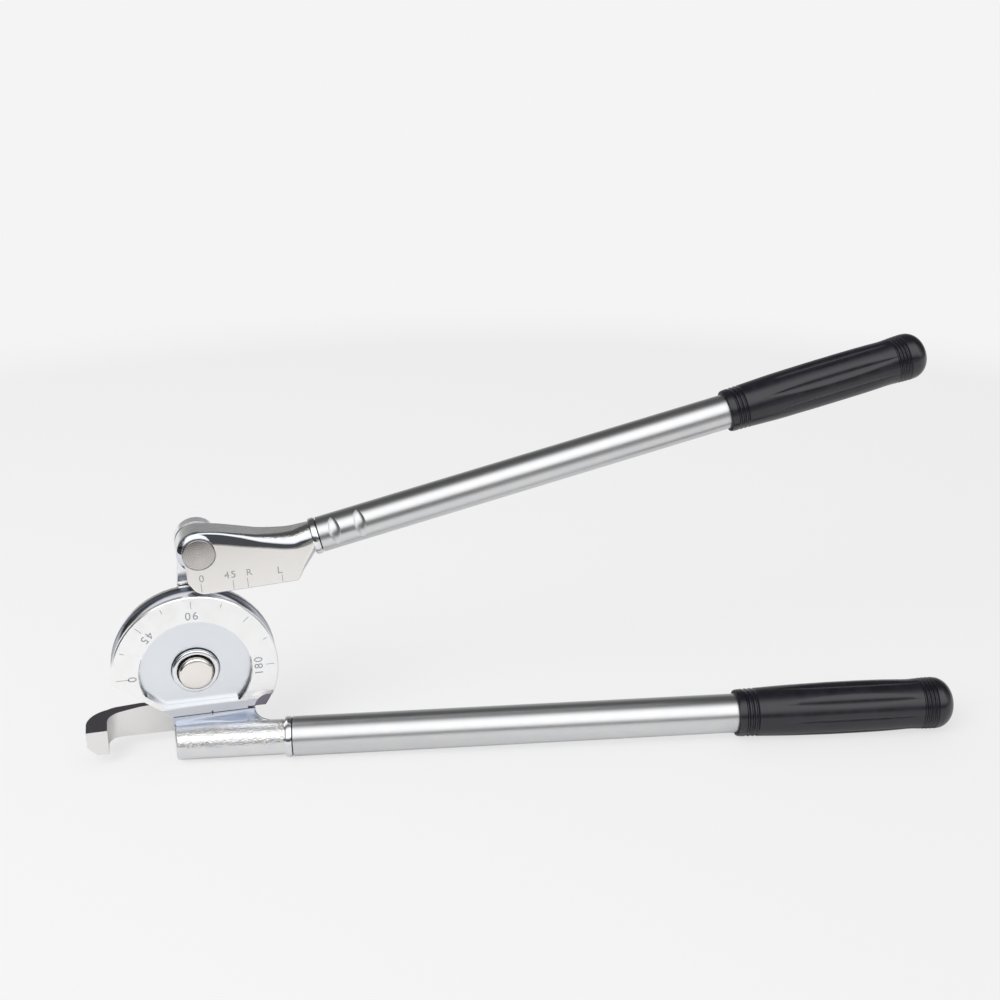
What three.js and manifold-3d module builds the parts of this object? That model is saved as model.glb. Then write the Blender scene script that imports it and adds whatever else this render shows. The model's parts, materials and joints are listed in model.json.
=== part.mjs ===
// Lever tube bender, built in millimetres with +Z up.
// The bend plane is X-Z: +X runs along the lower handle and +Y goes to the back.
// While it is being built, the origin lies on the die's axis, in the die's front face.
import * as THREE from 'three';
import { mergeVertices } from 'three/addons/utils/BufferGeometryUtils.js';
import Module from 'manifold-3d';

const wasm = await Module();
wasm.setup();

const degree = Math.PI / 180;
const front = 0;

// Clearances
const runningGap = 0.3;
const seatGap = 0.3;
const cutOverrun = 2;

// How finely round things are divided
const largeSides = 60;
const mediumSides = 32;
const smallSides = 20;
const curveSteps = 10;
const arcSteps = 4;

// What the bender bends
const bentTubeRadius = 6.35;
const bendRadius = 50.8;
const channelRadius = 6.5;

// The pose of the photograph
const linkLean = 5.2 * degree;
const headTurn = 3.3 * degree;

// Bend die
const dieThickness = 20;
const rimRise = 0.9;
const rimChamfer = 0.7;
const flangeRadius = bendRadius + rimRise;
const midPlane = dieThickness / 2;
const seamDrop = 29.8;
const seamLeft = 16.2;
const seamRight = 35.2;
const heelCutDrop = 2.5;
const pocketRadius = 34.8;
const pocketDepth = 4.5;
const pocketFlatDrop = 23.1;
const pocketFlatLeft = 19.9;
const pocketChamferRise = 10.2;
const bevelDrop = 18.1;
const bevelStart = 30.6;
const bevelDepth = 1.2;
const bevelRun = 4;
const scallopRadius = 9.2;
const scallopDepth = 2.2;
const scallopDrop = 31.5;

// Die pivot
const diePinRadius = 8;
const diePinHeadRadius = 10.7;
const diePinRise = 3.6;
const diePinCrown = 2.1;
const dieBushingWall = 2;
const dieCollarRadius = 14.8;
const dieCollarRise = 3.7;

// Link arm and what holds the pivots together behind it
const linkLength = 80;
const linkThickness = 8;
const linkBossRadius = 13.5;
const linkWaist = 22.6;
const thrustWasherThickness = 1;
const thrustWasherRadius = 12.5;
const ringThickness = 1.1;
const ringGrooveDepth = 1;
const ringRise = 1.8;
const ringOpening = 50 * degree;
const pinTail = 1.6;

// Head pivot
const headPinRadius = 7.4;
const headPinHeadRadius = 9.5;
const headPinRise = 1.8;
const headPinHeadDepth = 3.2;
const headPinChamfer = 0.9;
const headPinDimple = 0.8;
const headBushingWall = 1.8;

// Head forging
const headBossRadius = 13.5;
const shoeGap = 0.8;
const shoeDrop = linkLength - flangeRadius - shoeGap;
const neckRadius = 10.4;
const toeLength = 57.4;
const spineFrontRound = 6.5;
const spineRearRound = 2.5;
const shoeEdgeRound = 0.8;
const upperBeadForward = 74.9;
const upperBeadDrop = 2.8;
const upperPitch = 10.6 * degree;
const upperYaw = 3.5 * degree;
const upperBeadRadius = 11.8;

// Handle tubes and the forged collars that they butt against
const beadLength = 4.3;
const beadShoulder = 1.1;
const tubeGap = 0.6;
const spigotLength = 46;
const spigotChamfer = 1;
const tubeWall = 1.6;
const lowerTubeRadius = 12.7;
const upperTubeRadius = 11.3;
const tubeShortfall = 5.5;
const crimpDepth = 0.9;
const crimpHalfWidth = 4.2;
const crimpHalfArc = 50 * degree;
const firstCrimp = 10.5;
const crimpPitch = 16.4;

// Lower forging
const lowerForward = 4.5;
const lowerAxisDrop = 46.75;
const lowerYaw = 9.9 * degree;
const lowerNeckRadius = 11.25;
const lowerBeadRadius = 12.95;
const lowerBeadStart = 53.2;
const blockFloorDrop = 56;
const blockRearRound = 6;
const blockFrontRound = 3;
const heelRound = 4;
const filletRadius = 10.5;
const filletArc = 68 * degree;
const filletThickness = 2.2;
const filletRoot = 5;
const filletTail = 9;
const filletFootDrop = 42.5;

// Grips
const lowerGripStart = 346.3;
const lowerGripLength = 146.9;
const lowerGripRadius = 17.15;
const upperGripStart = 273.5;
const upperGripLength = 139.2;
const upperGripRadius = 15.41;
const gripGap = 0.3;
const gripCap = 4.5;
const mouthDepth = 2.4;
const mouthRings = 3;
const endRings = 4;
const endRingStart = 23;
const gripSides = 20;

// A grip's barrel as [place along its length, radius], its mouth as [depth, rise], and its ring cuts
const gripProfileShares = [
  [0.026, 0.9], [0.1, 0.92], [0.17, 0.945], [0.245, 0.968], [0.34, 0.985], [0.45, 1], [0.55, 1],
  [0.66, 0.99], [0.73, 0.972], [0.795, 0.952], [0.865, 0.985], [0.9, 0.99], [0.925, 0.972],
  [0.945, 0.91], [0.962, 0.81], [0.977, 0.66], [0.99, 0.42],
];
const mouthShares = [[1, 0], [0.25, 0.15], [0, 0.42], [0.25, 0.75], [0.8, 0.95]];
const mouthRingShare = 0.34;
const mouthRingPitchShare = 0.178;
const endRingPitchShare = 0.15;
const ringCutWidthShare = 0.085;
const ringCutDepthShare = 0.038;
const gripBulgeShare = 0.5;
const gripBellyShare = 0.5;

// Tube latch
const latchPivotLeft = 6;
const latchPivotDrop = 41;
const latchEyeRadius = 12;
const latchThickness = 8;
const latchTipWidth = 13;
const latchTipSetback = 0.9;
const latchOuterBend = 18.4;
const latchInnerBend = 8.8;
const latchTubeGap = 0.2;
const latchTopDrop = 34.2;
const latchTopRise = 3.2;
const latchRiseRun = 21;
const latchBottomDrop = 51.4;
const latchTipLift = 1.2;
const latchCornerCut = 5.5;
const latchScrewRadius = 5;
const latchThreadRadius = 4;
const latchThreadDepth = 11;
const latchScrewHeadRadius = 8;
const latchScrewHeadHeight = 4;
const latchWasherThickness = 0.8;
const latchWasherRadius = 9.5;
const hexShare = 0.5;
const hexDepth = 2.2;

// Screws that hold the die on the lower forging
const dieScrewPlaces = [7, 26];
const dieScrewSetback = 12.5;
const dieScrewRadius = 3;
const dieScrewHeadRadius = 5;
const dieScrewHeadHeight = 6;
const dieScrewGrip = 11;

// Finishes
const finishes = {
  machined: { color: 0xe9eaec, roughness: 0.35, metalness: 0.9 },
  forged: { color: 0xcfd1d6, roughness: 0.42, metalness: 0.95 },
  satin: { color: 0xbfc0c4, roughness: 0.45, metalness: 0.95 },
  plated: { color: 0xdadcdf, roughness: 0.2, metalness: 1 },
  bronze: { color: 0xb08650, roughness: 0.5, metalness: 0.9 },
  blackSteel: { color: 0x2b2b2e, roughness: 0.5, metalness: 0.7 },
  rubber: { color: 0x1b1b1e, roughness: 0.6, metalness: 0 },
};

// Shapes, joined and cut

// A geometry with shared corners merged, flat triangles dropped and its faces pointing out
function closed(source) {
  const bare = source.clone();
  bare.deleteAttribute('normal');
  bare.deleteAttribute('uv');
  const merged = mergeVertices(bare);
  const corners = merged.index.array;
  const kept = [];
  for (let i = 0; i < corners.length; i += 3) {
    const [a, b, c] = corners.slice(i, i + 3);
    if (a !== b && b !== c && c !== a) kept.push(a, b, c);
  }
  if (volumeOf(merged.attributes.position, kept) < 0) kept.reverse();
  merged.setIndex(kept);
  return merged;
}

function volumeOf(position, corners) {
  const [a, b, c] = [new THREE.Vector3(), new THREE.Vector3(), new THREE.Vector3()];
  let volume = 0;
  for (let i = 0; i < corners.length; i += 3) {
    a.fromBufferAttribute(position, corners[i]);
    b.fromBufferAttribute(position, corners[i + 1]);
    c.fromBufferAttribute(position, corners[i + 2]);
    volume += a.dot(b.cross(c));
  }
  return volume;
}

function solidOf(source) {
  const shape = closed(source);
  return new wasm.Manifold(new wasm.Mesh({
    numProp: 3,
    vertProperties: new Float32Array(shape.attributes.position.array),
    triVerts: new Uint32Array(shape.index.array),
  }));
}

function geometryOf(solid) {
  const mesh = solid.getMesh();
  const shape = new THREE.BufferGeometry();
  shape.setAttribute('position', new THREE.BufferAttribute(mesh.vertProperties, 3));
  shape.setIndex(new THREE.BufferAttribute(mesh.triVerts, 1));
  return shape;
}

function joined(...shapes) {
  return geometryOf(shapes.map(solidOf).reduce((all, one) => all.add(one)));
}

function cut(base, ...tools) {
  return geometryOf(tools.map(solidOf).reduce((left, tool) => left.subtract(tool), solidOf(base)));
}

function common(first, second) {
  return geometryOf(solidOf(first).intersect(solidOf(second)));
}

// A disc or shaft whose axis runs front to back
function disc(radius, near, far, x = 0, z = 0, sides = mediumSides) {
  return new THREE.CylinderGeometry(radius, radius, far - near, sides).translate(x, (near + far) / 2, z);
}

// A round piece turned about the front-to-back axis from [radius, depth] corners
function turned(profile, sides = mediumSides) {
  const points = profile.map(([radius, depth]) => new THREE.Vector2(radius, depth));
  return closed(new THREE.LatheGeometry(points, sides));
}

// The same, turned about the X axis from [along, radius] corners
function turnedAlongX(profile, sides = mediumSides) {
  return turned(profile.map(([along, radius]) => [radius, along]), sides).rotateZ(-Math.PI / 2);
}

function ringAbout(inner, outer, near, far) {
  return turned([[inner, near], [outer, near], [outer, far], [inner, far], [inner, near]]);
}

function outline(points) {
  return new THREE.Shape(points.map(([x, z]) => new THREE.Vector2(x, z)));
}

// An outline in the X-Z plane, given its thickness from front to back
function slab(shape, near, far) {
  const settings = { depth: far - near, bevelEnabled: false, curveSegments: curveSteps };
  const body = new THREE.ExtrudeGeometry(shape, settings);
  return body.rotateX(Math.PI / 2).translate(0, far, 0);
}

// An outline in the X-Y plane, given its height
function plan(shape, low, high) {
  const settings = { depth: high - low, bevelEnabled: false, curveSegments: curveSteps };
  const body = new THREE.ExtrudeGeometry(shape, settings);
  return body.translate(0, 0, low);
}

// An outline in the Y-Z plane, run along X
function bar(points, left, right) {
  const body = new THREE.ExtrudeGeometry(outline(points), { depth: right - left, bevelEnabled: false });
  const turn = new THREE.Matrix4().makeBasis(
    new THREE.Vector3(0, 1, 0), new THREE.Vector3(0, 0, 1), new THREE.Vector3(1, 0, 0));
  return body.applyMatrix4(turn).translate(left, 0, 0);
}

function block(left, right, near, far, low, high) {
  return new THREE.BoxGeometry(right - left, far - near, high - low)
    .translate((left + right) / 2, (near + far) / 2, (low + high) / 2);
}

// A skin over rings of equally many points, closed by a fan at both ends
function skinned(rings) {
  const count = rings[0].length;
  const points = rings.flat();
  const corners = [];
  for (let r = 0; r + 1 < rings.length; r += 1) {
    for (let i = 0; i < count; i += 1) {
      const [a, b] = [r * count + i, r * count + (i + 1) % count];
      corners.push(a, b, b + count, a, b + count, a + count);
    }
  }
  [0, rings.length - 1].forEach((r) => {
    const middle = points.length;
    const centre = new THREE.Vector3();
    rings[r].forEach((point) => centre.addScaledVector(point, 1 / count));
    points.push(centre);
    for (let i = 0; i < count; i += 1) {
      const [a, b] = [r * count + i, r * count + (i + 1) % count];
      corners.push(...(r === 0 ? [middle, b, a] : [middle, a, b]));
    }
  });
  const shape = new THREE.BufferGeometry().setFromPoints(points);
  shape.setIndex(corners);
  return closed(shape);
}

// Places on the tool

const pinFar = dieThickness + runningGap * 3 + thrustWasherThickness + linkThickness
  + ringThickness + seatGap + pinTail;
const linkNear = dieThickness + runningGap * 2 + thrustWasherThickness;
const linkFar = linkNear + linkThickness;
const ringNear = linkFar + seatGap;

const lowerBeadEnd = lowerBeadStart + beadLength;
const lowerPitch = Math.atan2(
  lowerGripRadius - lowerBeadRadius,
  lowerGripStart + lowerGripLength * gripBellyShare - lowerBeadStart - beadLength / 2);

function handleFrame(x, y, z, pitch, yaw) {
  const turn = new THREE.Euler(0, -pitch, -yaw, 'ZYX');
  return new THREE.Matrix4().makeRotationFromEuler(turn).setPosition(x, y, z);
}

const lowerFrame = handleFrame(0, -lowerForward, -lowerAxisDrop, lowerPitch, lowerYaw);
const upperFrame = handleFrame(upperBeadForward, midPlane, -upperBeadDrop, upperPitch, upperYaw);

// Bend die: a grooved disc with a straight seat below, a pocket in front and a cut away front flange

function dieBlank() {
  const boreRadius = diePinRadius + runningGap + dieBushingWall + seatGap;
  const profile = [[boreRadius, front], [flangeRadius - rimChamfer, front], [flangeRadius, rimChamfer]];
  profile.push([flangeRadius, midPlane - channelRadius]);
  for (let i = 0; i <= arcSteps * 2; i += 1) {
    const angle = Math.PI * (i / (arcSteps * 2) - 0.5);
    profile.push([bendRadius - channelRadius * Math.cos(angle), midPlane + channelRadius * Math.sin(angle)]);
  }
  profile.push([flangeRadius, midPlane + channelRadius], [flangeRadius, dieThickness - rimChamfer]);
  profile.push([flangeRadius - rimChamfer, dieThickness], [boreRadius, dieThickness], profile[0]);
  return turned(profile, largeSides);
}

function pocketShape() {
  const right = -Math.asin(pocketFlatDrop / pocketRadius);
  const left = Math.PI + Math.asin((pocketFlatDrop - pocketChamferRise) / pocketRadius);
  const shape = new THREE.Shape();
  shape.absarc(0, 0, pocketRadius, right, left, false);
  shape.lineTo(-pocketFlatLeft, -pocketFlatDrop);
  shape.closePath();
  return shape;
}

function dieScrewHole(x) {
  const top = -seamDrop + dieScrewGrip + seatGap;
  const length = top + blockFloorDrop + cutOverrun;
  return new THREE.CylinderGeometry(dieScrewRadius + seatGap, dieScrewRadius + seatGap, length, smallSides)
    .rotateX(Math.PI / 2).translate(x, dieScrewSetback, top - length / 2);
}

function bendDie() {
  const far = flangeRadius + cutOverrun;
  const slope = (seamDrop - heelCutDrop) / (flangeRadius - seamLeft);
  const heelTop = -heelCutDrop + cutOverrun * slope;
  const heel = slab(outline([[-far, heelTop], [-seamLeft, -seamDrop], [-seamLeft, -far], [-far, -far]]),
    -cutOverrun, dieThickness + cutOverrun);
  const below = block(-far, far, -cutOverrun, dieThickness + cutOverrun, -far, -seamDrop);
  const bevel = bar([
    [-cutOverrun, -bevelDrop], [front, -bevelDrop], [bevelDepth, -bevelDrop - bevelRun],
    [bevelDepth, -seamDrop - cutOverrun], [-cutOverrun, -seamDrop - cutOverrun],
  ], bevelStart, far);
  const scallop = disc(scallopRadius, -cutOverrun, scallopDepth, seamRight + scallopRadius, -scallopDrop);
  return cut(dieBlank(), heel, below, slab(pocketShape(), -cutOverrun, pocketDepth), bevel, scallop,
    ...dieScrewPlaces.map(dieScrewHole));
}

// A pivot pin with a head in front and a groove for its retaining ring behind the link
function pivotPin(head, shank, headFar) {
  const grooveRadius = shank - ringGrooveDepth;
  const grooveNear = ringNear - seatGap / 2;
  const grooveFar = ringNear + ringThickness + seatGap / 2;
  return turned([...head, [shank, headFar], [shank, grooveNear], [grooveRadius, grooveNear],
    [grooveRadius, grooveFar], [shank, grooveFar],
    [shank, pinFar - ringGrooveDepth / 2], [shank - ringGrooveDepth / 2, pinFar], [0, pinFar]]);
}

function diePin() {
  const crown = [];
  for (let i = 0; i <= arcSteps; i += 1) {
    const angle = Math.PI / 2 * (i / arcSteps);
    crown.push([diePinHeadRadius * Math.sin(angle), -diePinRise + diePinCrown * (1 - Math.cos(angle))]);
  }
  const headFar = pocketDepth - seatGap;
  return pivotPin([...crown, [diePinHeadRadius, headFar]], diePinRadius, headFar);
}

function headPin() {
  const near = -headPinRise;
  return pivotPin([
    [0, near + headPinDimple], [headPinDimple, near], [headPinHeadRadius - headPinChamfer, near],
    [headPinHeadRadius, near + headPinChamfer], [headPinHeadRadius, headPinHeadDepth],
  ], headPinRadius, headPinHeadDepth);
}

function retainingRing(shank) {
  const inner = shank - ringGrooveDepth + seatGap;
  const ring = ringAbout(inner, shank + ringRise, ringNear, ringNear + ringThickness);
  const reach = (shank + ringRise) * 2;
  const opening = slab(outline([
    [0, 0], [reach * Math.cos(Math.PI / 2 - ringOpening), -reach * Math.sin(Math.PI / 2 - ringOpening)],
    [-reach * Math.cos(Math.PI / 2 - ringOpening), -reach * Math.sin(Math.PI / 2 - ringOpening)],
  ]), ringNear - cutOverrun, ringNear + ringThickness + cutOverrun);
  return cut(ring, opening);
}

function bushing(shank, wall, near) {
  return ringAbout(shank + runningGap, shank + runningGap + wall, near, dieThickness - seatGap);
}

function thrustWasher(shank) {
  const near = dieThickness + runningGap;
  return ringAbout(shank + runningGap, thrustWasherRadius, near, near + thrustWasherThickness);
}

function linkArm() {
  const waistAngle = Math.acos(linkWaist / 2 / linkBossRadius);
  const shape = new THREE.Shape();
  shape.absarc(0, 0, linkBossRadius, Math.PI - waistAngle, Math.PI * 2 + waistAngle, false);
  shape.absarc(0, linkLength, linkBossRadius, -waistAngle, Math.PI + waistAngle, false);
  shape.closePath();
  return cut(slab(shape, linkNear, linkFar),
    disc(diePinRadius + seatGap, linkNear - cutOverrun, linkFar + cutOverrun),
    disc(headPinRadius + seatGap, linkNear - cutOverrun, linkFar + cutOverrun, 0, linkLength));
}

// Head forging: sections with rounded corners from the heel to the round neck.
// Each is [along, low, high, front corner, rear corner, low corner], along and heights from the pin.

function roundedSection(along, near, far, low, high, frontRound, rearRound, lowRound) {
  const corners = [
    [far - rearRound, high - rearRound, rearRound, 0],
    [near + frontRound, high - frontRound, frontRound, 1],
    [near + lowRound, low + lowRound, lowRound, 2],
    [far - lowRound, low + lowRound, lowRound, 3],
  ];
  return corners.flatMap(([y, z, radius, quarter]) => Array.from({ length: arcSteps + 1 }, (_, i) => {
    const angle = Math.PI / 2 * (quarter + i / arcSteps);
    return new THREE.Vector3(along, y + radius * Math.cos(angle), z + radius * Math.sin(angle));
  }));
}

function headBody() {
  const spine = [
    [-0.66, -0.67, 0.7], [-0.29, -0.93, 0.92], [0.1, -1, 0.985], [0.8, -1, 0.9],
    [1.9, -1, 0.6], [3, -1, 0.35],
  ].map(([alongShare, lowShare, highShare]) => roundedSection(
    alongShare * headBossRadius, front, dieThickness, lowShare * shoeDrop, highShare * headBossRadius,
    spineFrontRound, spineRearRound, shoeEdgeRound));
  const neckEnd = upperBeadForward - beadLength * Math.cos(upperPitch);
  const neckHeight = -upperBeadDrop - beadLength * Math.sin(upperPitch);
  const toeTop = headBossRadius * 0.24;
  const blendShares = [0, 0.45, 0.8, 1];
  const blends = blendShares.map((share) => {
    const blend = (from, to) => from + (to - from) * share;
    const near = blend(front, midPlane - neckRadius);
    const far = blend(dieThickness, midPlane + neckRadius);
    const low = blend(-shoeDrop, neckHeight - neckRadius);
    const high = blend(toeTop, neckHeight + neckRadius);
    return roundedSection(blend(toeLength, neckEnd), near, far, low, high, blend(spineFrontRound, neckRadius),
      blend(spineRearRound, neckRadius), blend(shoeEdgeRound, neckRadius));
  });
  return skinned([...spine, ...blends]);
}

// Forged bead at the root of a handle, with the spigot that the tube is pushed over
function beadAndSpigot(start, beadRadius, tubeRadius) {
  const end = start + beadLength;
  const spigotRadius = tubeRadius - tubeWall - seatGap;
  const tip = end + spigotLength;
  const rootRadius = beadRadius - beadShoulder * 2;
  return turnedAlongX([
    [start - beadLength, 0], [start - beadLength, rootRadius], [start, rootRadius],
    [start + beadShoulder / 2, beadRadius - beadShoulder / 2], [start + beadShoulder, beadRadius],
    [end - beadShoulder, beadRadius], [end - beadShoulder / 3, beadRadius - beadShoulder / 3],
    [end, beadRadius - beadShoulder], [end, spigotRadius], [tip - spigotChamfer, spigotRadius],
    [tip, spigotRadius - spigotChamfer], [tip, 0],
  ]);
}

function shoeHead() {
  const boreRadius = headPinHeadRadius + runningGap;
  const channel = new THREE.CylinderGeometry(channelRadius, channelRadius, toeLength * 3, mediumSides)
    .rotateZ(Math.PI / 2).translate(0, midPlane, bendRadius - linkLength);
  const bead = beadAndSpigot(-beadLength, upperBeadRadius, upperTubeRadius).applyMatrix4(upperFrame);
  const forging = joined(headBody(), disc(headBossRadius, front, dieThickness));
  return joined(cut(forging, channel, disc(boreRadius, -cutOverrun, dieThickness + cutOverrun)), bead);
}

// Lower forging: a block under the die, a round neck in front of it and a fillet between them

function handleSocket() {
  const top = -seamDrop - seatGap;
  const base = -blockFloorDrop;
  const body = bar([
    [front, top], [front, base + blockFrontRound], [blockFrontRound, base],
    [dieThickness - blockRearRound, base], [dieThickness, base + blockRearRound], [dieThickness, top],
  ], -seamLeft, seamRight);
  const centre = seamRight + filletRadius;
  const filletShape = new THREE.Shape();
  filletShape.moveTo(seamRight - filletRoot, top);
  filletShape.absarc(centre, top, filletRadius, Math.PI, Math.PI + filletArc, false);
  filletShape.lineTo(centre - filletRadius * Math.cos(filletArc) + filletTail * Math.sin(filletArc),
    top - filletRadius * Math.sin(filletArc) - filletTail * Math.cos(filletArc));
  filletShape.lineTo(centre + filletRoot, -lowerAxisDrop);
  filletShape.lineTo(seamRight - filletRoot, -lowerAxisDrop);
  filletShape.closePath();
  const fillet = slab(filletShape, front, filletThickness);
  const foot = block(seamRight - filletRoot, centre + filletRoot, -lowerNeckRadius, filletThickness,
    -lowerAxisDrop, -filletFootDrop);
  const neck = turnedAlongX([[-lowerBeadStart, 0], [-lowerBeadStart, lowerNeckRadius],
    [lowerBeadStart, lowerNeckRadius], [lowerBeadStart, 0]]).applyMatrix4(lowerFrame);
  const far = lowerBeadStart * 2;
  const heelFloor = -lowerAxisDrop - lowerNeckRadius;
  const sideShape = new THREE.Shape();
  sideShape.moveTo(-seamLeft, far);
  sideShape.absarc(heelRound - seamLeft, heelFloor + heelRound, heelRound, Math.PI, Math.PI * 3 / 2, false);
  sideShape.lineTo(far, heelFloor);
  sideShape.lineTo(far, far);
  sideShape.closePath();
  const bead = beadAndSpigot(lowerBeadStart, lowerBeadRadius, lowerTubeRadius).applyMatrix4(lowerFrame);
  const counterboreRadius = dieScrewHeadRadius + seatGap;
  const counterboreDepth = dieScrewHeadHeight + seatGap;
  const counterbores = dieScrewPlaces.map((x) => new THREE.CylinderGeometry(
    counterboreRadius, counterboreRadius, counterboreDepth + cutOverrun, smallSides)
    .rotateX(Math.PI / 2)
    .translate(x, dieScrewSetback, base + (counterboreDepth - cutOverrun) / 2));
  const thread = disc(latchThreadRadius + seatGap, dieThickness - latchThreadDepth - seatGap,
    dieThickness + cutOverrun, -latchPivotLeft, -latchPivotDrop, smallSides);
  return cut(joined(common(joined(body, neck), slab(sideShape, -far, far)), fillet, foot, bead),
    ...dieScrewPlaces.map(dieScrewHole), ...counterbores, thread);
}

// Socket head screw along +Z, its head's flat end at the base
function capScrew(shank, headRadius, headHeight, length) {
  const hexRadius = headRadius * hexShare;
  const body = turned([[0, 0], [headRadius, 0], [headRadius, headHeight], [shank, headHeight],
    [shank, length], [0, length]], smallSides);
  return cut(body, disc(hexRadius, -cutOverrun, hexDepth, 0, 0, 6)).rotateX(Math.PI / 2);
}

function dieScrew(x) {
  const base = -blockFloorDrop;
  return capScrew(dieScrewRadius, dieScrewHeadRadius, dieScrewHeadHeight,
    blockFloorDrop - seamDrop + dieScrewGrip - seatGap).translate(x, dieScrewSetback, base);
}

// Handle tubes

// A tube along +X. Each crimp is a shallow dent in its front, as wide as crimpHalfWidth twice.
function handleTube(radius, start, end, crimps) {
  const bore = radius - tubeWall;
  const sides = mediumSides;
  const ringAt = (along, size) => Array.from({ length: sides }, (_, i) => {
    const angle = Math.PI * 2 * i / sides;
    const offFront = Math.abs(Math.atan2(Math.sin(angle), Math.cos(angle)));
    const reach = Math.max(0, 1 - offFront / crimpHalfArc);
    const dents = crimps.map((place) => Math.max(0, 1 - Math.abs(along - place) / crimpHalfWidth));
    const depth = size > bore ? crimpDepth * Math.max(0, ...dents) * Math.min(1, reach * 2) : 0;
    return new THREE.Vector3(along, -(size - depth) * Math.cos(angle), (size - depth) * Math.sin(angle));
  });
  const stations = [start, end];
  crimps.forEach((place) => stations.push(place - crimpHalfWidth, place, place + crimpHalfWidth));
  stations.sort((a, b) => a - b);
  const outside = stations.map((along) => ringAt(along, radius));
  const rings = [ringAt(start, bore), ...outside, ringAt(end, bore)];
  return hollow(rings);
}

// A skin over rings that closes on itself, from the last ring back to the first
function hollow(rings) {
  const count = rings[0].length;
  const points = rings.flat();
  const total = points.length;
  const corners = [];
  for (let r = 0; r < rings.length; r += 1) {
    for (let i = 0; i < count; i += 1) {
      const [a, b] = [r * count + i, r * count + (i + 1) % count];
      const [c, d] = [(b + count) % total, (a + count) % total];
      corners.push(a, b, c, a, c, d);
    }
  }
  const shape = new THREE.BufferGeometry().setFromPoints(points);
  shape.setIndex(corners);
  return closed(shape);
}

// Grips

function gripRadiusAt(along, length, radius) {
  const share = along / length;
  const shares = gripProfileShares;
  const next = shares.findIndex(([place]) => place >= share);
  if (next <= 0) return shares[0][1] * radius;
  const [[fromPlace, fromSize], [toPlace, toSize]] = [shares[next - 1], shares[next]];
  return radius * (fromSize + (toSize - fromSize) * (share - fromPlace) / (toPlace - fromPlace));
}

function grip(start, length, radius, tubeRadius) {
  const bore = tubeRadius + gripGap;
  const cutWidth = ringCutWidthShare * radius;
  const rings = [];
  for (let i = 0; i < mouthRings; i += 1) rings.push((mouthRingShare + mouthRingPitchShare * i) * radius);
  for (let i = 0; i < endRings; i += 1) rings.push(length - endRingStart + endRingPitchShare * radius * i);
  const places = gripProfileShares.map(([share]) => share * length)
    .filter((place) => rings.every((ring) => Math.abs(place - ring) > cutWidth));
  const profile = places.map((place) => [place, gripRadiusAt(place, length, radius)]);
  rings.forEach((ring) => {
    const size = gripRadiusAt(ring, length, radius);
    profile.push([ring - cutWidth / 2, size], [ring, size - ringCutDepthShare * radius],
      [ring + cutWidth / 2, size]);
  });
  profile.sort((a, b) => a[0] - b[0]);
  const rise = gripProfileShares[0][1] * radius - bore;
  const mouth = mouthShares.map(([depthShare, riseShare]) => [
    mouthDepth * depthShare, bore + rise * riseShare]);
  const shape = turnedAlongX([
    [length - gripCap, 0], [length - gripCap - bore * gripBulgeShare, bore], ...mouth, ...profile,
    [length, 0],
  ], gripSides);
  return shape.translate(start, 0, 0);
}

// Tube latch: a bar behind the die that hooks forward round the tube

const latchNear = dieThickness + runningGap * 2 + latchWasherThickness;
const latchFar = latchNear + latchThickness;

function latchHook() {
  const inner = -(bendRadius + bentTubeRadius + latchTubeGap);
  const outer = inner - latchTipWidth;
  const path = new THREE.Shape();
  path.moveTo(-latchPivotLeft, latchFar);
  path.absarc(outer + latchOuterBend, latchFar - latchOuterBend, latchOuterBend, Math.PI / 2, Math.PI, false);
  path.lineTo(outer, latchTipSetback);
  path.lineTo(inner, latchTipSetback);
  path.absarc(inner + latchInnerBend, latchNear - latchInnerBend, latchInnerBend, Math.PI, Math.PI / 2, true);
  path.lineTo(-latchPivotLeft, latchNear);
  path.closePath();
  const top = -latchTopDrop;
  const face = outline([
    [outer - cutOverrun, top], [inner, top], [inner + latchRiseRun, top + latchTopRise],
    [-latchPivotLeft, -latchPivotDrop + latchEyeRadius], [-latchPivotLeft, -latchPivotDrop - latchEyeRadius],
    [-latchPivotLeft - latchEyeRadius, -latchBottomDrop], [inner, -latchBottomDrop + latchTipLift / 2],
    [outer + latchCornerCut, -latchBottomDrop + latchTipLift],
    [outer - cutOverrun, -latchBottomDrop + latchTipLift + latchCornerCut + cutOverrun],
  ]);
  const arm = common(plan(path, -latchBottomDrop * 2, front), slab(face, -cutOverrun, latchFar + cutOverrun));
  const eye = disc(latchEyeRadius, latchNear, latchFar, -latchPivotLeft, -latchPivotDrop);
  const hole = disc(latchScrewRadius + runningGap, latchNear - cutOverrun, latchFar + cutOverrun,
    -latchPivotLeft, -latchPivotDrop);
  return cut(joined(arm, eye), hole);
}

function latchWasher(near) {
  return ringAbout(latchScrewRadius + runningGap, latchWasherRadius, near, near + latchWasherThickness)
    .translate(-latchPivotLeft, 0, -latchPivotDrop);
}

function latchScrew() {
  const shoulderNear = dieThickness + seatGap;
  const headNear = latchFar + runningGap * 2 + latchWasherThickness;
  const headFar = headNear + latchScrewHeadHeight;
  const body = turned([
    [0, dieThickness - latchThreadDepth], [latchThreadRadius, dieThickness - latchThreadDepth],
    [latchThreadRadius, shoulderNear], [latchScrewRadius, shoulderNear], [latchScrewRadius, headNear],
    [latchScrewHeadRadius, headNear], [latchScrewHeadRadius, headFar], [0, headFar],
  ]);
  const hex = disc(latchScrewHeadRadius * hexShare, headFar - hexDepth, headFar + cutOverrun, 0, 0, 6);
  return cut(body, hex).translate(-latchPivotLeft, 0, -latchPivotDrop);
}

// Assembly

function named(name, shape, finish) {
  const flat = shape.toNonIndexed();
  flat.computeVertexNormals();
  const mesh = new THREE.Mesh(flat, new THREE.MeshStandardMaterial(finishes[finish]));
  mesh.name = name;
  return mesh;
}

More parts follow.
